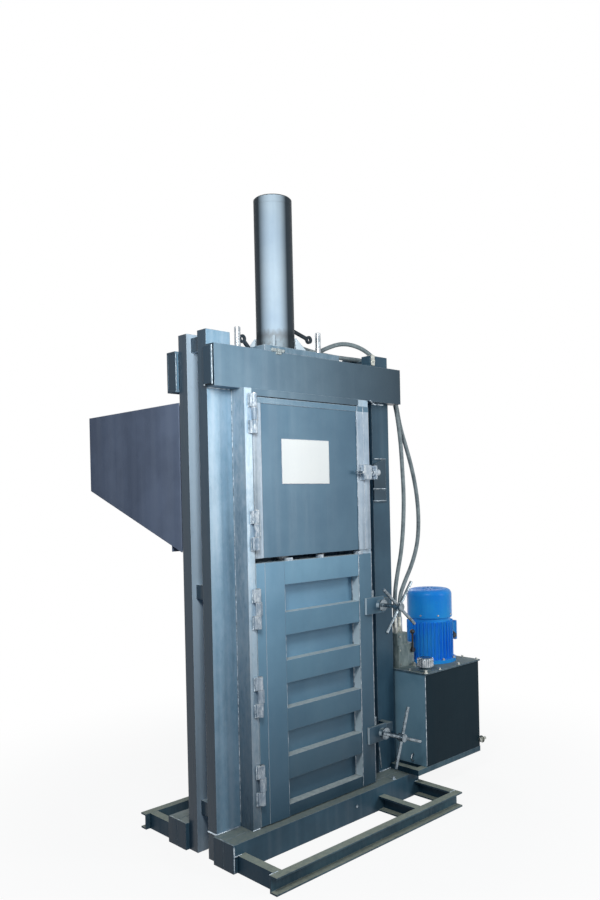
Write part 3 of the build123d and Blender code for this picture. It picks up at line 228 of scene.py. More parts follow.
def painted_steel(
    name,
    paint,
    shade,
    wear_and_highlight="#C6D6E6",
    mottle=0.0,
    bands_and_sheen=0.16,
    low_shade=0.25,
    dust="#B4B8AC",
    dust_cover=0.4,
    rust_cover=0.0,
    chipping=0.6,
    roughness=0.34,
    gloss=0.5,
    rust_below=None,
    left_face_shading=0.0,
    left_face_shading_colour="#0C3044",
    flank_shade=0.0,
    front_shade=0.0,
    end_shade=0.0,
    rear_painted_light=0.0,
    above=None,
):
    """Brushed enamel on rolled steel: soft bands, worn edges, dust on what looks up, painted light
    and shade.

    Covers of painted light and shade, dust, rust and wear run from 0 to 1. rust_below is a height,
    and above is a height with the colour of the paint over it.
    """
    material, tree = new_finish(name)
    place = add(tree, "TexCoord", out="Object")
    height = add(tree, "SeparateXYZ", {0: place}, "Z")
    along = add(tree, "SeparateXYZ", {0: place}, "X")
    # Every coat is where it lies and its colour, from the first to the last.
    coats = []
    # Paint of uneven thickness, in patches 200 mm across.
    patches = add(
        tree, "TexNoise", {"Vector": place, "Scale": 4.6, "Detail": 4.0, "Roughness": 0.55}
    )
    thick = add(tree, "MapRange", {0: patches, 1: 0.38, 2: 0.62})
    if rear_painted_light:
        # Painted light on the rear channel's face, which the front channel shades.
        depth = add(tree, "SeparateXYZ", {0: place}, "Y")
        rear_lit = add(
            tree, "MapRange", {0: depth, 1: rear_light_front, 2: rear_light_back, 3: 0.0, 4: rear_painted_light}
        )
        coats.append((rear_lit, wear_and_highlight))
    # Bands that the brush left, 50 mm wide and about a metre long; they also paint the sheen that
    # runs down the faces.
    tall = add(tree, "Mapping", {"Vector": place, "Scale": (1, 1, 0.05)})
    bands = add(
        tree, "TexNoise", {"Vector": tall, "Scale": 19.0, "Detail": 2.5, "Roughness": 0.5}
    )
    pale_bands_and_sheen = add(tree, "MapRange", {0: bands, 1: 0.5, 2: 0.72, 3: 0.0, 4: bands_and_sheen})
    coats.append((pale_bands_and_sheen, wear_and_highlight))
    dark_bands = add(tree, "MapRange", {0: bands, 1: 0.48, 2: 0.28, 3: 0.0, 4: bands_and_sheen})
    coats.append((dark_bands, brush_shadow))
    # Thin paint over mill scale: blotches about 20 mm across, drawn out downwards.
    drawn = add(tree, "Mapping", {"Vector": place, "Scale": (1, 1, 0.42)})
    blotches = add(
        tree, "TexNoise", {"Vector": drawn, "Scale": 44.0, "Detail": 7.0, "Roughness": 0.74}
    )
    pale = add(tree, "MapRange", {0: blotches, 1: 0.47, 2: 0.63, 3: 0.0, 4: mottle})
    coats.append((pale, wear_and_highlight))
    dim = add(tree, "MapRange", {0: blotches, 1: 0.44, 2: 0.3, 3: 0.0, 4: mottle * 0.7 + 0.05})
    coats.append((dim, thin_paint))
    if above:
        # Another paint from this height up.
        from_height, upper_paint = above
        upper = add(tree, "MapRange", {0: height, 1: from_height, 2: from_height + 0.001})
        coats.append((upper, upper_paint))
    # Painted shade that deepens towards the floor.
    low_shaded = add(tree, "MapRange", {0: height, 1: low_shade_top, 2: low_shade_floor, 3: 0.0, 4: low_shade})
    coats.append((low_shaded, low_shade_colour))
    # Painted shade that deepens towards the power unit's end.
    end_shaded = add(tree, "MapRange", {0: along, 1: end_shade_start, 2: end_shade_full, 3: 0.0, 4: end_shade})
    coats.append((end_shaded, end_shade_colour))
    # Grit of about 4 mm, which breaks up every patch of dust and rust.
    grit = add(
        tree, "TexNoise", {"Vector": place, "Scale": 270.0, "Detail": 3.0, "Roughness": 0.7}
    )
    fine = add(tree, "Math", {0: grit, 1: 0.2}, operation="MULTIPLY")
    broken = add(tree, "Math", {0: blotches, 1: fine}, operation="ADD")
    clean, rusted = 0.84 - rust_cover, 0.9 - rust_cover
    rusty = add(tree, "MapRange", {0: broken, 1: clean, 2: rusted, 3: 0.0, 4: 0.7})
    if rust_below is not None:
        # Heat from welding burnt the enamel off below a ragged line, and rust set in along it.
        rise = add(tree, "Math", {0: blotches, 1: 0.06}, operation="MULTIPLY")
        ragged = add(tree, "Math", {0: height, 1: rise}, operation="ADD")
        burnt = add(tree, "MapRange", {0: ragged, 1: rust_below + 0.045, 2: rust_below - 0.015})
        over = add(tree, "MapRange", {0: ragged, 1: rust_below - 0.012, 2: rust_below + 0.012})
        rim = add(tree, "Math", {0: burnt, 1: over}, operation="MULTIPLY")
        rim = add(tree, "Math", {0: rim, 1: 0.75}, operation="MULTIPLY", use_clamp=True)
        specks = add(tree, "MapRange", {0: broken, 1: 0.6, 2: 0.72, 3: 0.0, 4: 0.45})
        specks = add(tree, "Math", {0: specks, 1: burnt}, operation="MULTIPLY")
        grey = add(tree, "Math", {0: burnt, 1: 0.6}, operation="MULTIPLY")
        coats.append((grey, scorched_steel))
        rusty = add(tree, "Math", {0: rusty, 1: rim}, operation="MAXIMUM")
        rusty = add(tree, "Math", {0: rusty, 1: specks}, operation="MAXIMUM")
    coats.append((rusty, rust))
    # Corners that handling and grinding wore to bright steel, 4 mm wide, with painted edge
    # highlights.
    rounded = add(tree, "Bevel", {"Radius": 0.0042}, samples=4)
    flat = add(tree, "NewGeometry", out="True Normal")
    bent = add(tree, "VectorMath", {0: rounded, 1: flat}, "Value", operation="DOT_PRODUCT")
    edge_wear_and_highlight = add(tree, "MapRange", {0: bent, 1: 0.985, 2: 0.85})
    chips = add(tree, "MapRange", {0: blotches, 1: 0.34, 2: 0.56, 3: 0.12, 4: chipping})
    edge_wear_and_highlight = add(tree, "Math", {0: edge_wear_and_highlight, 1: chips}, operation="MULTIPLY")
    coats.append((edge_wear_and_highlight, wear_and_highlight))
    normal = add(tree, "NewGeometry", out="Normal")
    if left_face_shading:
        # Faces that look left get painted shade, and a painted highlight where their colour is
        # pale.
        leftward = add(tree, "SeparateXYZ", {0: normal}, "X")
        left_face_shaded = add(tree, "MapRange", {0: leftward, 1: -0.8, 2: -0.97, 3: 0.0, 4: left_face_shading})
        coats.append((left_face_shaded, left_face_shading_colour))
    if flank_shade:
        # Painted shade on both flanks of the tube, which turn away from the front and the back.
        lit_way = (-0.70, -0.71, 0)
        toward_light = add(
            tree, "VectorMath", {0: normal, 1: lit_way}, "Value", operation="DOT_PRODUCT"
        )
        toward_light = add(tree, "Math", {0: toward_light}, operation="ABSOLUTE")
        flank_shaded = add(tree, "MapRange", {0: toward_light, 1: 0.99, 2: 0.7, 3: 0.0, 4: flank_shade})
        coats.append((flank_shaded, flank_shade_colour))
    if front_shade:
        # Painted shade on the faces that look to the front, which leaves them nearly black.
        forward = add(tree, "SeparateXYZ", {0: normal}, "Y")
        front_shaded = add(tree, "MapRange", {0: forward, 1: -0.6, 2: -0.95, 3: 0.0, 4: front_shade})
        coats.append((front_shaded, front_shade_colour))
    # Dust that settled on every face that looks up.
    upward = add(tree, "SeparateXYZ", {0: normal}, "Z")
    settled = add(tree, "MapRange", {0: upward, 1: 0.55, 2: 0.95})
    drifts = add(tree, "MapRange", {0: broken, 1: 0.36, 2: 0.72, 3: 0.5, 4: 1.0})
    settled = add(tree, "Math", {0: settled, 1: drifts}, operation="MULTIPLY")
    settled = add(tree, "Math", {0: settled, 1: dust_cover}, operation="MULTIPLY")
    coats.append((settled, dust))
    tone = add(tree, "Mix", {0: thick, 6: linear(shade), 7: linear(paint)}, 2, data_type="RGBA")
    for cover, colour in coats:
        tone = add(tree, "Mix", {0: cover, 6: tone, 7: linear(colour)}, 2, data_type="RGBA")
    # The brush's bands are glossier, and dust and rust are dull.
    dullest, glossiest = roughness + 0.08, roughness - 0.06
    rough = add(tree, "MapRange", {0: bands, 1: 0.3, 2: 0.7, 3: dullest, 4: glossiest})
    dull = add(tree, "Math", {0: settled, 1: rusty}, operation="MAXIMUM")
    dull = add(tree, "Math", {0: dull, 1: 0.45}, operation="MULTIPLY")
    rough = add(tree, "Math", {0: rough, 1: dull}, operation="ADD", use_clamp=True)
    # Brush marks and mill scale under the paint, about 0.3 mm deep.
    marks = add(tree, "TexNoise", {"Vector": tall, "Scale": 90.0, "Detail": 3.0})
    relief = add(tree, "Math", {0: marks, 1: blotches}, operation="ADD")
    relief = add(tree, "Math", {0: relief, 1: fine}, operation="ADD")
    surface = add(
        tree, "Bump", {"Strength": 0.22, "Distance": 0.0015, "Height": relief, "Normal": rounded}
    )
    shader = add(
        tree,
        "BsdfPrincipled",
        {
            "Base Color": tone,
            "Roughness": rough,
            "Normal": surface,
            "IOR": 1.5,
            "Specular IOR Level": gloss,
        },
    )
    add(tree, "OutputMaterial", {"Surface": shader})
    return material


def bare_metal(name, bright, dull, roughness, turned, soot):
    """Plain steel: bright where it is rubbed, dull and speckled where it isn't."""
    material, tree = new_finish(name)
    place = add(tree, "TexCoord", out="Object")
    # Oxide clouds of about 20 mm.
    clouds = add(
        tree, "TexNoise", {"Vector": place, "Scale": 46.0, "Detail": 5.0, "Roughness": 0.65}
    )
    rubbed = add(tree, "MapRange", {0: clouds, 1: 0.38, 2: 0.6})
    tone = add(tree, "Mix", {0: rubbed, 6: linear(dull), 7: linear(bright)}, 2, data_type="RGBA")
    # Specks of soot and spatter, 2 mm across.
    specks = add(tree, "TexNoise", {"Vector": place, "Scale": 420.0, "Detail": 2.0})
    sooty = add(tree, "MapRange", {0: specks, 1: 0.56, 2: 0.68, 3: 0.0, 4: soot})
    tone = add(tree, "Mix", {0: sooty, 6: tone, 7: linear("#33373B")}, 2, data_type="RGBA")
    # Turning marks 1.5 mm apart, coarser than real so that they show.
    rings = add(tree, "Mapping", {"Vector": place, "Scale": (1, 1, 22)})
    marks = add(tree, "TexNoise", {"Vector": rings, "Scale": 30.0, "Detail": 3.0})
    marks = add(tree, "Math", {0: marks, 1: turned}, operation="MULTIPLY")
    relief = add(tree, "Math", {0: clouds, 1: marks}, operation="ADD")
    rounded = add(tree, "Bevel", {"Radius": 0.0012}, samples=4)
    surface = add(
        tree, "Bump", {"Strength": 0.3, "Distance": 0.001, "Height": relief, "Normal": rounded}
    )
    dullest, glossiest = roughness + 0.12, roughness - 0.05
    rough = add(tree, "MapRange", {0: clouds, 1: 0.35, 2: 0.65, 3: dullest, 4: glossiest})
    shader = add(
        tree,
        "BsdfPrincipled",
        {"Base Color": tone, "Metallic": 0.9, "Roughness": rough, "Normal": surface},
    )
    add(tree, "OutputMaterial", {"Surface": shader})
    return material


# Blue-grey alkyd enamel brushed on the beams: even, half gloss, with painted shade by the power
# unit.
# Painted shade also lies on the faces that look left.
beam_enamel = painted_steel(
    "beam_enamel",
    "#738FA3",
    "#668297",
    bands_and_sheen=0.06,
    gloss=0.25,
    left_face_shading=0.95,
    end_shade=0.85,
)
# The same enamel on the left columns: glossier, and painted paler for the sheen on them.
# It has painted light on the rear channel and painted shade on the faces that look left.
left_column_painted_sheen = painted_steel(
    "left_column_painted_sheen",
    "#9BBBD3",
    "#88AAC3",
    bands_and_sheen=0.34,
    mottle=0.16,
    low_shade=0.2,
    roughness=0.24,
    gloss=0.3,
    left_face_shading=0.92,
    rear_painted_light=0.75,
)
# The right columns, painted darker for the shade they stand in, and hardly worn.
right_column_painted_shade = painted_steel(
    "right_column_painted_shade", "#426276", "#38566A", bands_and_sheen=0.06, low_shade=0.1, gloss=0.25
)
# Door posts: thin paint over grey scale, so they are mottled pale from top to bottom.
# They are painted paler still for their sheen, with painted shade towards the floor and on faces
# that look left.
post_enamel = painted_steel(
    "post_enamel",
    "#CBE3F6",
    "#B6D2E9",
    wear_and_highlight="#EAF3FD",
    mottle=0.5,
    bands_and_sheen=0.32,
    low_shade=0.78,
    roughness=0.28,
    gloss=0.6,
    left_face_shading=0.4,
)
# Sheet of the doors: flat, smooth and bluer than the frame, with painted shade by the power unit.
door_enamel = painted_steel(
    "door_enamel", "#688CA5", "#5E829C", bands_and_sheen=0.03, gloss=0.25, end_shade=0.4
)
# The lower door is brighter at the top left, with painted shade towards the foot and the power
# unit.
# Its faces that look left carry a painted highlight.
lower_door_enamel = painted_steel(
    "lower_door_enamel",
    "#8AB5D2",
    "#7EAAC8",
    bands_and_sheen=0.03,
    low_shade=0.78,
    gloss=0.25,
    end_shade=0.7,
    left_face_shading=0.8,
    left_face_shading_colour="#E4F1F8",
)
# The lower door's sheet between its ribs, painted paler to light it where the ribs shade it.
panel_painted_light = painted_steel(
    "panel_painted_light",
    "#98C6E5",
    "#8CBADA",
    bands_and_sheen=0.03,
    low_shade=0.82,
    gloss=0.25,
    end_shade=0.5,
)
# Strips along the upper door, worn pale by hands and painted nearly white for their sheen.
# Their top was painted as the sheet.
strip_enamel_and_sheen = painted_steel(
    "strip_enamel_and_sheen",
    "#C4D4E6",
    "#A9BED4",
    wear_and_highlight="#F4F8FD",
    mottle=0.2,
    bands_and_sheen=0.6,
    chipping=0.9,
    roughness=0.24,
    gloss=0.4,
    above=(1.9143, "#688CA5"),
)
# Ribs of the lower door: the same enamel, with tan baling dust lying on each ledge.
# Painted shade deepens towards the floor.
rib_enamel = painted_steel(
    "rib_enamel",
    "#87B4D0",
    "#7CA8C5",
    dust="#C6CDCC",
    dust_cover=0.95,
    bands_and_sheen=0.03,
    low_shade=0.92,
    gloss=0.25,
    end_shade=0.25,
)
# Chamber sheet, seen only through gaps: the same enamel, scuffed.
chamber_enamel = painted_steel("chamber_enamel", "#64829A", "#4F6C84", mottle=0.25, low_shade=0.3)
# Bottom beams: enamel with painted shade low down and on faces that look left, and dust on their
# shelf.
foot_enamel = painted_steel(
    "foot_enamel",
    "#5E859C",
    "#517388",
    wear_and_highlight="#B9C6D2",
    dust="#96998C",
    dust_cover=0.7,
    low_shade=0.45,
    gloss=0.2,
    left_face_shading=0.92,
)
# Skid rails: dull, scraped by floor and boots, tan with dust on top.
# Painted shade lies low down and on the faces that look left.
skid_enamel = painted_steel(
    "skid_enamel",
    "#6B8F9F",
    "#526F80",
    wear_and_highlight="#9FADB4",
    mottle=0.22,
    low_shade=0.42,
    dust="#B4B5A2",
    dust_cover=0.8,
    rust_cover=0.04,
    roughness=0.5,
    gloss=0.2,
    left_face_shading=0.85,
)
# The hopper's thin sheet: duller and more violet than the frame.
hopper_enamel = painted_steel(
    "hopper_enamel",
    "#75819A",
    "#68738A",
    wear_and_highlight="#98A4B8",
    bands_and_sheen=0.12,
    chipping=0.3,
    roughness=0.6,
    gloss=0.15,
)
# The cylinder's pale enamel, burnt off in a rusty ring over its foot.
# Painted shade lies on both flanks of the tube.
cylinder_enamel = painted_steel(
    "cylinder_enamel",
    "#D6E8F8",
    "#C8DCF0",
    wear_and_highlight="#E4EEF8",
    bands_and_sheen=0.1,
    roughness=0.42,
    gloss=0.06,
    rust_below=2.27,
    flank_shade=0.94,
)
# Plate and ribs under the cylinder: the plate is painted as the beams, the ribs kept their primer.
mount_primer = painted_steel(
    "mount_primer",
    "#738FA3",
    "#668297",
    wear_and_highlight="#E6EEF6",
    mottle=0.12,
    rust_cover=0.06,
    roughness=0.45,
    gloss=0.3,
    above=(2.1755, "#CFDDE9"),
)
# Lifting eyes: black scale on bent bar.
black_scale = painted_steel(
    "black_scale",
    "#2C3843",
    "#202A33",
    wear_and_highlight="#5A6874",
    dust_cover=0.2,
    rust_cover=0.06,
    roughness=0.5,
    gloss=0.2,
)
# The oil tank's enamel, with painted shade on its front that leaves it nearly black.
tank_enamel = painted_steel(
    "tank_enamel",
    "#86ABBF",
    "#779CB1",
    dust="#9EA294",
    dust_cover=0.6,
    low_shade=0.0,
    bands_and_sheen=0.03,
    gloss=0.05,
    front_shade=0.95,
)
# The tank's lid: darker, greasy and dusty.
lid_enamel = painted_steel(
    "lid_enamel",
    "#506B78",
    "#3E5763",
    dust="#8C948A",
    dust_cover=0.65,
    mottle=0.15,
    low_shade=0.1,
    gloss=0.2,
)
# The valve block's phosphated steel: grey-green, spotted with oil and dust.
phosphate = painted_steel(
    "phosphate",
    "#92A09E",
    "#6F7F80",
    wear_and_highlight="#C9D2D0",
    mottle=0.5,
    low_shade=0.1,
    rust_cover=0.05,
    roughness=0.5,
    gloss=0.2,
)
# The motor's sprayed polyurethane: smooth, glossy and even, with a little dust.
motor_enamel = painted_steel(
    "motor_enamel",
    "#34AEFF",
    "#2096FF",
    wear_and_highlight="#5FC0FF",
    bands_and_sheen=0.02,
    low_shade=0.0,
    dust="#6B97CF",
    dust_cover=0.25,
    chipping=0.35,
    roughness=0.3,
    gloss=0.15,
)
# Hinge barrels, latch and tabs: enamel knocked off, so most of the steel is bright.
hinge_enamel = painted_steel(
    "hinge_enamel",
    "#B4C4D6",
    "#7B92A9",
    wear_and_highlight="#F4F8FD",
    mottle=0.8,
    chipping=1.0,
    roughness=0.24,
    gloss=0.9,
    low_shade=0.15,
)
# The bare plate on the upper door: white enamel with a thin violet-blue line round it.
plate_enamel = painted_steel(
    "plate_enamel",
    "#FEFEFE",
    "#FBFCFD",
    wear_and_highlight="#3B4384",
    bands_and_sheen=0.0,
    low_shade=0.0,
    chipping=1.0,
    roughness=0.4,
)
# Turned mild steel of rods, pins and bolt: bright, with dull clouds.
turned_steel = bare_metal("turned_steel", "#C9CED3", "#8C949B", 0.28, turned=0.6, soot=0.25)
# Handles, spindles and filler cap: the same steel, oiled by gloves, dark with bright glints.
oiled_steel = bare_metal("oiled_steel", "#97A2AA", "#5C6871", 0.22, turned=0.1, soot=0.12)
# Weld metal: a bright grey skin with soot beside it.
weld_metal = bare_metal("weld_metal", "#CBD6DF", "#738492", 0.38, turned=0.0, soot=0.45)
# A lump of burnt weld on the beam's edge: pale slag, flecked with rust.
burnt_weld = painted_steel(
    "burnt_weld", "#AEB9BB", "#7C888D", wear_and_highlight="#E4EAEC", mottle=0.7, rust_cover=0.2, gloss=0.2
)
# Zinc-plated fasteners, a little yellow.
zinc_plate = bare_metal("zinc_plate", "#CFD1CB", "#A2A6A1", 0.32, turned=0.0, soot=0.15)
# Chromed brass of the filler cap's grip: a clear mirror with a few water spots.
chrome = bare_metal("chrome", "#EDEFF2", "#C4C8CE", 0.14, turned=0.0, soot=0.1)

# Wrapped nitrile rubber, faded grey: matt, with ridges of the wrap 8 mm apart, coarser than
# real so that they show.
hose_rubber, tree = new_finish("wrapped_rubber")
place = add(tree, "TexCoord", out="Object")
faded = add(tree, "TexNoise", {"Vector": place, "Scale": 26.0, "Detail": 5.0, "Roughness": 0.7})
faded = add(tree, "MapRange", {0: faded, 1: 0.36, 2: 0.64})
tone = add(tree, "Mix", {0: faded, 6: linear("#66737A"), 7: linear("#98A4A8")}, 2, data_type="RGBA")
wrap = add(
    tree,
    "TexWave",
    {"Vector": place, "Scale": 40.0, "Distortion": 1.2, "Detail": 1.0},
    wave_type="BANDS",
    bands_direction="Z",
)
surface = add(tree, "Bump", {"Strength": 0.25, "Distance": 0.0006, "Height": wrap})
rough = add(tree, "MapRange", {0: faded, 3: 0.42, 4: 0.58})
shader = add(tree, "BsdfPrincipled", {"Base Color": tone, "Roughness": rough, "Normal": surface})
add(tree, "OutputMaterial", {"Surface": shader})

# Black nylon of the lever and the cable gland: matt, with a moulded grain of 1 mm.
nylon, tree = new_finish("moulded_nylon")
place = add(tree, "TexCoord", out="Object")
grain = add(tree, "TexNoise", {"Vector": place, "Scale": 900.0, "Detail": 2.0})
tone = add(tree, "Mix", {0: grain, 6: linear("#131415"), 7: linear("#2E3032")}, 2, data_type="RGBA")
surface = add(tree, "Bump", {"Strength": 0.2, "Distance": 0.0004, "Height": grain})
shader = add(tree, "BsdfPrincipled", {"Base Color": tone, "Roughness": 0.5, "Normal": surface})
add(tree, "OutputMaterial", {"Surface": shader})

# The solids that each finish is on.
finishes = {
    beam_enamel: ["top_beams", "header_strips", "guide_blocks", "dog_keepers", "column_plates"],
    left_column_painted_sheen: ["left_columns", "column_spacers"],
    right_column_painted_shade: ["right_columns"],
    post_enamel: ["chamber_posts"],
    chamber_enamel: ["chamber_side_walls", "chamber_rear_wall", "chamber_floor", "ram_platen"],
    foot_enamel: ["bottom_beams"],
    skid_enamel: ["base_end_rails", "base_inner_rails", "tank_shelf"],
    door_enamel: ["upper_door_panel"],
    lower_door_enamel: ["lower_door_stiles", "handle_ears"],
    panel_painted_light: ["lower_door_panel"],
    strip_enamel_and_sheen: ["upper_door_stiles"],
    rib_enamel: ["lower_door_ribs"],
    hopper_enamel: ["hopper_walls", "hopper_floor", "hopper_front"],
    cylinder_enamel: ["cylinder_tube", "cylinder_cap", "cylinder_gland", "cylinder_ports"],
    mount_primer: ["cylinder_mount"],
    black_scale: ["lifting_eyes"],
    tank_enamel: ["tank"],
    lid_enamel: ["tank_lid"],
    phosphate: ["valve_block"],
    motor_enamel: ["motor_frame", "motor_cowl", "terminal_box", "motor_fan"],
    hinge_enamel: [
        "frame_knuckles",
        "upper_door_knuckles",
        "lower_door_knuckles",
        "latch_block",
        "latch_keeper",
    ],
    plate_enamel: ["door_plate_blank"],
    turned_steel: ["hinge_pins", "ram_rod", "guide_rods", "latch_bolt"],
    oiled_steel: [
        "lower_spindle",
        "lower_star_handle",
        "upper_spindle",
        "upper_star_handle",
        "breather_cap",
    ],
    zinc_plate: ["drain_plug", "hose_ferrules"],
    nylon: ["valve_lever"],
    hose_rubber: ["low_hose", "high_hose"],
}
for finish, names in finishes.items():
    for name in names:
        nodes[name].data.materials.clear()
        nodes[name].data.materials.append(finish)
low_hose.data.materials.append(hose_rubber)
high_hose.data.materials.append(hose_rubber)

# ---------------------------------------------------------------- modelling


# Edges that turn more than this stay sharp where a piece is shaded smooth.
crease = radians(40)


def clear_selection():
    """Deselects everything, so that the next operator acts on the new piece alone."""
    bpy.ops.object.select_all(action="DESELECT")


def settle(piece):
    """Puts a piece's place into its mesh."""
    clear_selection()
    piece.select_set(True)
    bpy.context.view_layer.objects.active = piece
    bpy.ops.object.transform_apply(location=True, rotation=True, scale=True)
    return piece


def eased(piece, width, segments=2):
    """Files off every edge of the piece that was just settled."""
    bpy.ops.object.mode_set(mode="EDIT")
    bpy.ops.mesh.select_all(action="SELECT")
    bpy.ops.mesh.bevel(offset=width, segments=segments)
    bpy.ops.object.mode_set(mode="OBJECT")
    return piece


def hand_laid(bead, unevenness, seed):
    """Gives the bead that was just settled an uneven, soft surface."""
    bpy.ops.object.mode_set(mode="EDIT")
    bpy.ops.mesh.select_all(action="SELECT")
    bpy.ops.transform.vertex_random(offset=unevenness, seed=seed)
    bpy.ops.mesh.faces_shade_smooth()
    bpy.ops.object.mode_set(mode="OBJECT")
    return bead


def gathered(name, parts, finish, body):
    """Joins parts into one named piece, gives it its finish and lets it ride."""
    clear_selection()
    for part in parts:
        part.select_set(True)
    bpy.context.view_layer.objects.active = parts[0]
    if len(parts) > 1:
        bpy.ops.object.join()
    piece = bpy.context.object
    piece.name = name
    piece.data.name = name
    piece.data.materials.clear()
    piece.data.materials.append(finish)
    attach(piece, body)


def copied(model, moves):
    """Copies of a model, each with its own mesh, put in place by its matrix."""
    copies = []
    for move in moves:
        copy = bpy.data.objects.new(model.name, model.data.copy())
        copy.data.transform(move)
        scene.collection.objects.link(copy)
        copies.append(copy)
    bpy.data.objects.remove(model)
    return copies


def facing(direction, x, y, z):
    """Turns what looks up so that it looks the other way, and puts it there."""
    turn = Vector((0, 0, 1)).rotation_difference(Vector(direction)).to_matrix().to_4x4()
    return Matrix.Translation((x, y, z)) @ turn


def weld_bead(start, end, width):
    """A hand-laid bead: ripples that overlap by a good third, along a line between two points."""
    clear_selection()
    start, end = Vector(start), Vector(end)
    run = end - start
    pitch = width * 0.62
    count = max(2, int(run.length / pitch))
    bpy.ops.mesh.primitive_uv_sphere_add(
        segments=8, ring_count=5, radius=width / 2, location=start
    )
    bead = settle(bpy.context.object)
    ripples = bead.modifiers.new("ripples", "ARRAY")
    ripples.count = count
    ripples.use_relative_offset = False
    ripples.use_constant_offset = True
    ripples.constant_offset_displace = run / count
    bpy.ops.object.modifier_apply(modifier=ripples.name)
    return hand_laid(bead, width * 0.14, seed=count)


def welded(name, runs, body):
    """Beads from their starts, ends and widths, as one piece of weld metal."""
    gathered(name, [weld_bead(*run) for run in runs], weld_metal, body)


def eased_block(x, y, z, ease=0.0012):
    """A cut of flat bar between pairs of coordinates, with its edges filed off."""
    clear_selection()
    centre = ((x[0] + x[1]) / 2, (y[0] + y[1]) / 2, (z[0] + z[1]) / 2)
    bpy.ops.mesh.primitive_cube_add(size=1, location=centre)
    block = bpy.context.object
    block.scale = (x[1] - x[0], y[1] - y[0], z[1] - z[0])
    return eased(settle(block), ease)


def hex_bolt(size, height=0.008):
    """A hexagon head on its washer, standing on the ground plane and looking up."""
    washer_height = 0.002
    clear_selection()
    bpy.ops.mesh.primitive_cylinder_add(
        vertices=28, radius=size * 0.74, depth=washer_height, location=(0, 0, washer_height / 2)
    )
    washer = eased(settle(bpy.context.object), 0.0004, segments=1)
    clear_selection()
    bpy.ops.mesh.primitive_cylinder_add(
        vertices=6, radius=size / 2, depth=height, location=(0, 0, height / 2 + washer_height)
    )
    eased(settle(bpy.context.object), size * 0.06)
    washer.select_set(True)
    bpy.ops.object.join()
    return bpy.context.object


def domed_screw(radius=0.005, height=0.003):
    """A pan head with a round socket, standing on the ground plane and looking up."""
    clear_selection()
    bpy.ops.mesh.primitive_cylinder_add(
        vertices=24, radius=radius, depth=height, location=(0, 0, height / 2)
    )
    head = settle(bpy.context.object)
    for face in head.data.polygons:
        face.select = face.normal.z > 0.9
    bpy.ops.object.mode_set(mode="EDIT")
    bpy.ops.mesh.select_mode(type="FACE")
    bpy.ops.mesh.bevel(offset=height * 0.45, segments=3, affect="EDGES")
    bpy.ops.mesh.inset(thickness=radius * 0.24)
    bpy.ops.mesh.extrude_region_move(TRANSFORM_OT_translate={"value": (0, 0, -height * 0.5)})
    bpy.ops.object.mode_set(mode="OBJECT")
    bpy.ops.object.shade_smooth_by_angle(angle=crease)
    return head


# ---------------------------------------------------------------- welds

# Hinge barrels of three knuckles, 1 mm apart. The outer two are welded to the frame and the
# middle one to its door, in beads brighter than the paint.
knuckle = 0.055
knuckle_pitch = 0.056
lower_door_high = 1.233
frame_barrels, upper_barrels, lower_barrels = [], [], []
for foot in (0.218, 0.590, 0.960, 1.291, 1.783):
    for low in (foot, foot + 2 * knuckle_pitch):
        high = low + knuckle
        frame_barrels.append(((-0.6815, -0.3865, low), (-0.6815, -0.3865, high), 0.0075))
        frame_barrels.append(
            ((-0.6725, -0.3975, low + 0.002), (-0.6725, -0.3975, high - 0.005), 0.003)
        )
    low = foot + knuckle_pitch
    door_barrels = upper_barrels if foot > lower_door_high else lower_barrels
    door_barrels.append(((-0.6375, -0.3905, low), (-0.6375, -0.3905, low + knuckle), 0.007))
welded("hinge_welds_frame", frame_barrels, "frame")
welded("hinge_welds_lower", lower_barrels, "lower_door")
welded("hinge_welds_upper", upper_barrels, "upper_door")

# Beams to columns, posts to header, columns to feet, the beams' ends, plates on the right
# column, and the long seams of a column, a post and the tank.
frame_runs = [
    ((-0.8410, -0.3000, 1.9820), (-0.8410, -0.3000, 2.1430), 0.008),
    ((-0.8425, -0.3555, 1.9820), (-0.8425, -0.3555, 2.1430), 0.006),
    ((-0.8410, -0.0975, 1.9820), (-0.8410, -0.0975, 2.1430), 0.007),
    ((-0.8265, -0.3000, 1.9735), (-0.7030, -0.3000, 1.9735), 0.008),
    ((0.0850, -0.3835, 1.9735), (0.1860, -0.3120, 1.9735), 0.009),
    ((0.1900, -0.3005, 1.9730), (0.2760, -0.3005, 1.9730), 0.009),
    ((-0.8265, -0.2995, 0.1165), (-0.7030, -0.2995, 0.1165), 0.009),
    ((-0.7000, -0.3830, 0.1170), (-0.6640, -0.3830, 0.1170), 0.009),
    ((0.1900, -0.2995, 0.1165), (0.3130, -0.2995, 0.1165), 0.009),
    ((-0.8290, -0.2960, 0.1165), (-0.8290, -0.2350, 0.1165), 0.008),
    ((-0.8415, -0.4290, 0.0080), (-0.8415, -0.4290, 0.1100), 0.0075),
    ((-0.8410, -0.4245, 0.1120), (-0.8410, -0.3000, 0.1120), 0.008),
    ((-0.8425, -0.3630, 0.0040), (-0.8425, -0.3630, 0.1110), 0.005),
    ((-0.8415, -0.0955, 0.0080), (-0.8415, -0.0955, 0.1100), 0.0075),
    ((-0.8410, -0.0955, 0.1120), (-0.8410, 0.0275, 0.1120), 0.007),
    ((0.1800, -0.3070, 1.4850), (0.2770, -0.3070, 1.4850), 0.005),
    ((0.1800, -0.3070, 1.5450), (0.2770, -0.3070, 1.5450), 0.005),
    ((0.1890, -0.3070, 1.6970), (0.2780, -0.3070, 1.6970), 0.005),
    ((-0.7020, -0.3000, 0.1300), (-0.7020, -0.3000, 1.9700), 0.004),
    ((0.3430, -0.4810, 0.1500), (0.3430, -0.4810, 0.6000), 0.005),
    ((0.0815, -0.3700, 0.1300), (0.0815, -0.3700, 1.2400), 0.004),
]
welded("frame_welds", frame_runs, "frame")

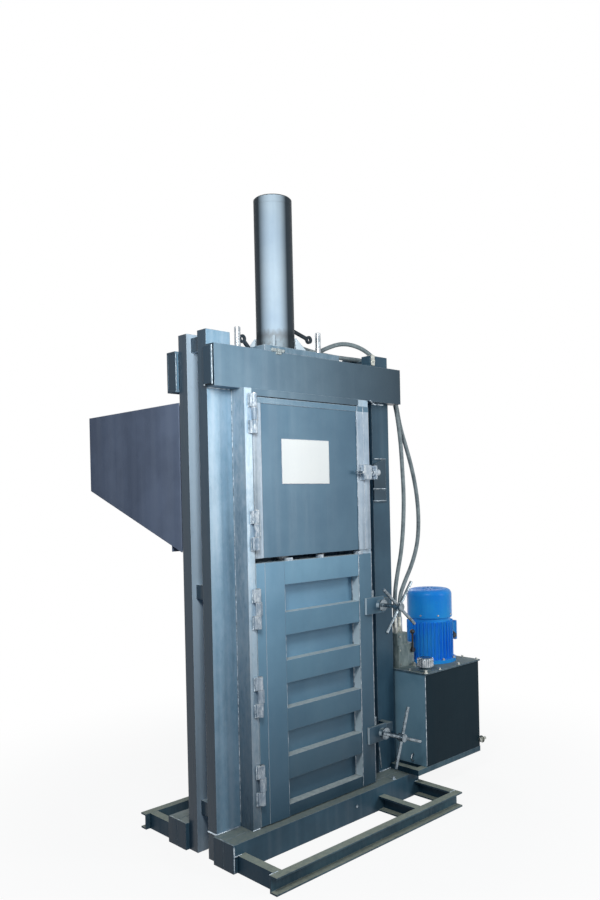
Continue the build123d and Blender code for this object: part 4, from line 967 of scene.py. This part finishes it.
# A lump of slag on the front beam's upper edge, and a drip below it.
lump_runs = [
    ((-0.5180, -0.3590, 2.1560), (-0.4450, -0.3590, 2.1560), 0.018),
    ((-0.4950, -0.3610, 2.1430), (-0.4650, -0.3610, 2.1430), 0.011),
]
gathered("weld_lump", [weld_bead(*run) for run in lump_runs], burnt_weld, "frame")

# Skid: the side rails meet the end rails in short grey beads.
skid_runs = [
    ((-0.8420, -0.6500, 0.0690), (-0.8000, -0.6500, 0.0690), 0.006),
    ((-0.8000, -0.6500, 0.0040), (-0.8000, -0.6500, 0.0660), 0.006),
    ((-0.8420, -0.4310, 0.0690), (-0.8030, -0.4310, 0.0690), 0.006),
    ((0.3410, -0.6500, 0.0690), (0.3010, -0.6500, 0.0690), 0.006),
    ((0.3410, -0.4310, 0.0690), (0.3010, -0.4310, 0.0690), 0.006),
]
welded("skid_welds", skid_runs, "frame")

# Lower door: beads where the ribs meet the stiles, and one up the right stile.
# These beads also stand for painted highlights on the rib ends and the stile's edge.
rib_spans = ((1.013, 1.112), (0.803, 0.907), (0.594, 0.697), (0.385, 0.488), (0.175, 0.278))
rib_beads_and_highlights = []
for low, high in rib_spans:
    rib_beads_and_highlights.append(((-0.0290, -0.3425, low), (-0.0290, -0.3425, high), 0.006))
    rib_beads_and_highlights.append(((-0.4985, -0.3845, low), (-0.4985, -0.3845, high), 0.0035))
rib_beads_and_highlights.append(((-0.0262, -0.3865, 0.126), (-0.0262, -0.3865, 1.228), 0.0035))
welded("rib_welds_and_highlights", rib_beads_and_highlights, "lower_door")

# Upper door: its strips are tacked to the sheet, and the latch block is welded round.
latch_runs = [
    ((-0.0150, -0.3805, 1.262), (-0.0150, -0.3805, 1.934), 0.0035),
    ((-0.6130, -0.3800, 1.262), (-0.6130, -0.3800, 1.934), 0.0035),
    ((-0.0015, -0.3895, 1.587), (-0.0015, -0.3895, 1.659), 0.005),
    ((0.0525, -0.3895, 1.587), (0.0525, -0.3895, 1.659), 0.005),
    ((0.0000, -0.3895, 1.660), (0.0510, -0.3895, 1.660), 0.005),
]
welded("latch_welds", latch_runs, "upper_door")

# The cylinder's foot: one bead round the tube, and both sides of each rib.
clear_selection()
bpy.ops.mesh.primitive_torus_add(
    location=(*cylinder_axis, 2.1765),
    major_segments=120,
    minor_segments=8,
    major_radius=0.0915,
    minor_radius=0.0055,
)
foot_beads = [hand_laid(settle(bpy.context.object), 0.0014, seed=5)]
rib_low, rib_high = 2.177, 2.245
half_rib = 0.008
for degrees in (45, 135, 225, 315):
    inner, outer, foot, top = (
        Vector(around(cylinder_axis, radius, degrees, z))
        for radius, z in ((0.096, rib_low), (0.144, rib_low), (0.093, rib_low), (0.093, rib_high))
    )
    across = Vector(around((0, 0), half_rib, degrees + 90, 0))
    for side in (across, -across):
        foot_beads.append(weld_bead(inner + side, outer + side, 0.006))
        foot_beads.append(weld_bead(foot + side, top + side, 0.006))
gathered("cylinder_welds", foot_beads, weld_metal, "frame")

# ---------------------------------------------------------------- small steel parts

# Plates that close the ends of both top beams, and a worn lip on the rear one.
end_plates = []
for front in (-0.3525, -0.0995):
    for end in (-0.8455, 0.3385):
        end_plates.append(
            eased_block((end, end + 0.004), (front, front + 0.055), (1.984, 2.141), 0.0008)
        )
gathered("beam_end_plates", end_plates, beam_enamel, "frame")
lip = eased_block((-0.8445, -0.8285), (-0.0993, -0.0955), (1.984, 2.141), 0.0008)
gathered("beam_lip", [lip], strip_enamel_and_sheen, "frame")

# Tabs on the lower door's top edge, bright where the upper door rubs them.
tabs = [
    eased_block((-0.474, -0.446), (-0.384, -0.352), (1.231, 1.246)),
    eased_block((-0.276, -0.256), (-0.384, -0.352), (1.231, 1.247)),
    eased_block((-0.022, 0.006), (-0.386, -0.352), (1.231, 1.248)),
]
gathered("door_tabs", tabs, hinge_enamel, "lower_door")

# Bolts round the tank's lid and the motor's foot, and two larger plugs in the lid.
lid_top = 0.612
lid_bolts = copied(
    hex_bolt(0.014),
    [
        Matrix.Translation((x, y, lid_top))
        for x, y in (
            (0.470, -0.4765),
            (0.630, -0.4765),
            (0.795, -0.4765),
            (0.352, -0.375),
            (0.352, -0.200),
            (0.352, -0.0870),
            (0.500, -0.0870),
            (0.650, -0.0870),
            (0.800, -0.0870),
            (0.801, -0.3800),
            (0.801, -0.2000),
        )
    ],
)
foot_bolts = copied(
    hex_bolt(0.013),
    [
        Matrix.Translation(around(motor_axis, 0.130, degrees, 0.630))
        for degrees in (20, 70, 110, 160, 200, 250, 290, 340)
    ],
)
plugs = copied(
    hex_bolt(0.022, 0.014),
    [Matrix.Translation((x, y, lid_top)) for x, y in ((0.464, -0.312), (0.352, -0.4765))],
)
gathered("lid_bolts", lid_bolts + foot_bolts + plugs, zinc_plate, "frame")

# A ring on the tank's side for its hook, welded on at half its round.
clear_selection()
bpy.ops.mesh.primitive_torus_add(
    location=(0.3405, -0.397, 0.176),
    rotation=(radians(90), 0, 0),
    major_segments=40,
    minor_segments=12,
    major_radius=0.017,
    minor_radius=0.0038,
)
ring = settle(bpy.context.object)
bpy.ops.object.mode_set(mode="EDIT")
bpy.ops.mesh.select_all(action="SELECT")
tank_side = (0.3437, 0, 0)
bpy.ops.mesh.bisect(plane_co=tank_side, plane_no=(1, 0, 0), use_fill=True, clear_outer=True)
bpy.ops.object.mode_set(mode="OBJECT")
bpy.ops.object.shade_smooth_by_angle(angle=crease)
gathered("tank_ring", [ring], turned_steel, "frame")

# Loose ends on the bottom beam: a nut on its shelf, a screw in its front, a leaning stub of bar.
stub = copied(
    eased_block((-0.003, 0.003), (-0.0045, 0.0), (-0.055, 0.055)),
    [Matrix.Translation((0.1955, -0.2978, 0.189)) @ Matrix.Rotation(radians(-7), 4, "Y")],
)
beam_nut = copied(hex_bolt(0.019, 0.011), [Matrix.Translation((0.164, -0.412, 0.1147))])
beam_screw = copied(domed_screw(0.007, 0.004), [facing((0, -1, 0), -0.120, -0.4283, 0.066)])
gathered("beam_fittings", stub + beam_nut + beam_screw, weld_metal, "frame")

# Drain pipe low on the tank's front corner, with a hexagon collar and a strap.
clear_selection()
bpy.ops.mesh.primitive_cylinder_add(
    vertices=32,
    radius=0.0085,
    depth=0.052,
    location=(0.8195, -0.4880, 0.178),
    rotation=(0, pi / 2, 0),
)
pipe = settle(bpy.context.object)
ends = pipe.modifiers.new("ends", "BEVEL")
ends.width = 0.0014
ends.segments = 2
ends.limit_method = "ANGLE"
bpy.ops.object.modifier_apply(modifier=ends.name)
bpy.ops.object.shade_smooth_by_angle(angle=crease)
collar = copied(hex_bolt(0.026, 0.012), [facing((1, 0, 0), 0.8130, -0.4880, 0.178)])
strap = [eased_block((0.796, 0.806), (-0.4985, -0.4812), (0.1660, 0.1900))]
gathered("drain_pipe", [pipe] + collar + strap, zinc_plate, "frame")

# Screws of the cowl, the terminal box and the valve block.
cowl_screws = [
    facing(around((0, 0), 1, degrees, 0), *around(motor_axis, 0.1205, degrees, 0.866))
    for degrees in (15, 105, 195, 285, 240)
]
box_screws = [
    facing((1, 0, 0), 0.8275, y, z) for y in (-0.317, -0.248) for z in (0.716, 0.791)
]
block_screws = [
    facing((0, -1, 0), x, -0.2915, z) for x in (0.380, 0.479) for z in (0.628, 0.700, 0.772)
]
screws = copied(domed_screw(), cowl_screws + box_screws + block_screws)
gathered("housing_screws", screws, zinc_plate, "frame")

# Cover of the terminal box, with a cable gland in the box's front.
cover = eased_block((0.8115, 0.8280), (-0.3300, -0.2350), (0.7020, 0.8080), 0.004)
gathered("terminal_cover", [cover], motor_enamel, "frame")
gland = copied(hex_bolt(0.030, 0.016), [facing((0, -1, 0), 0.789, -0.3270, 0.7300)])
gathered("cable_gland", gland, nylon, "frame")

# Grip of the filler cap: upright ribs 3 mm wide round its rim.
rib_count = 26
rib = eased_block((0.0385, 0.0412), (-0.0017, 0.0017), (0.637, 0.676), 0.0007)
grip = copied(
    rib,
    [
        Matrix.Translation((*filler_axis, 0)) @ Matrix.Rotation(2 * pi * step / rib_count, 4, "Z")
        for step in range(rib_count)
    ],
)
gathered("filler_grip", grip, chrome, "breather")

# Clamp that holds the hose on the right column's top, with a bolt through the column's face.
clamp = [
    eased_block((0.190, 0.214), (-0.3050, -0.2985), (2.168, 2.217)),
    eased_block((0.190, 0.214), (-0.3050, -0.2700), (2.217, 2.221)),
]
clamp += copied(hex_bolt(0.012, 0.006), [facing((0, -1, 0), 0.202, -0.305, 2.190)])
gathered("hose_clamp", clamp, zinc_plate, "frame")

# ---------------------------------------------------------------- floor and light


def looked_at(tree):
    """1 for rays of the camera and for those that gloss or glass sends on, 0 for plain light."""
    straight = add(tree, "LightPath", out="Is Camera Ray")
    mirrored = add(tree, "LightPath", out="Is Glossy Ray")
    through = add(tree, "LightPath", out="Is Transmission Ray")
    either = add(tree, "Math", {0: straight, 1: mirrored}, operation="MAXIMUM")
    return add(tree, "Math", {0: either, 1: through}, operation="MAXIMUM")


clear_selection()
bpy.ops.mesh.primitive_plane_add(size=80, location=(0, 0, -0.001))
floor = settle(bpy.context.object)
floor.name = "studio_floor"
# Matt white vinyl: it shows the shadow near the machine and fades into the white room,
# from 0.9 m to 2.6 m away.
pale_floor, tree = new_finish("pale_floor")
seen = looked_at(tree)
spot = add(tree, "TexCoord", out="Object")
away = add(tree, "VectorMath", {0: spot}, "Value", operation="LENGTH")
fade = add(
    tree, "MapRange", {0: away, 1: 0.9, 2: 2.6, 3: 0.9, 4: 1.0}, interpolation_type="SMOOTHSTEP"
)
share = add(tree, "Math", {0: seen, 1: fade}, operation="MULTIPLY")
white = linear("#FFFFFF")
tone = add(tree, "Mix", {0: seen, 6: linear("#8C8F92"), 7: white}, 2, data_type="RGBA")
matt = add(tree, "BsdfDiffuse", {"Color": tone})
glow = add(tree, "Emission", {"Color": white, "Strength": 1.0})
both = add(tree, "MixShader", {0: share, 1: matt, 2: glow})
add(tree, "OutputMaterial", {"Surface": both})
floor.data.materials.append(pale_floor)

# A white room that lights the machine with a dimmer grey.
world = bpy.data.worlds.new("pale_room")
scene.world = world
world.use_nodes = True
tree = world.node_tree
tree.nodes.clear()
seen = looked_at(tree)
tone = add(tree, "Mix", {0: seen, 6: linear("#6A7680"), 7: white}, 2, data_type="RGBA")
room = add(tree, "Background", {"Color": tone, "Strength": 1.0})
add(tree, "OutputWorld", {"Surface": room})


def soft_lamp(name, place, aim, power, width, tint, height=None):
    """A softbox that looks at a point, and that the camera doesn't see."""
    lamp = bpy.data.lights.new(name, "AREA")
    lamp.energy = power
    lamp.shape = "RECTANGLE"
    lamp.size = width
    lamp.size_y = height or width
    lamp.color = linear(tint)[:3]
    stand = bpy.data.objects.new(name, lamp)
    scene.collection.objects.link(stand)
    stand.location = place
    stand.rotation_euler = (Vector(aim) - Vector(place)).to_track_quat("-Z", "Y").to_euler()
    stand.visible_camera = False


# One softbox over the doors' left, two upright strips whose light the left columns and the
# post throw back, and a weak and a strong one for the left side and the back.
soft_lamp("key_softbox", (-1.62, -1.48, 2.35), (-0.5, -0.3, 1.8), 27, 0.7, "#F8FCFA")
soft_lamp("column_strip", (1.18, -2.9, 1.75), (-0.77, -0.3, 1.6), 15, 0.16, "#F8FCFA", 1.5)
soft_lamp("post_strip", (1.52, -2.9, 1.75), (-0.68, -0.38, 1.6), 12, 0.16, "#F8FCFA", 1.6)
soft_lamp("side_softbox", (-3.4, 0.6, 2.4), (-0.8, 0.3, 1.4), 3, 1.4, "#E8F0FF")
soft_lamp("rear_softbox", (2.4, 2.8, 3.0), (0.0, 0.0, 1.0), 32, 1.6, "#FFFFFF")

bpy.context.view_layer.update()
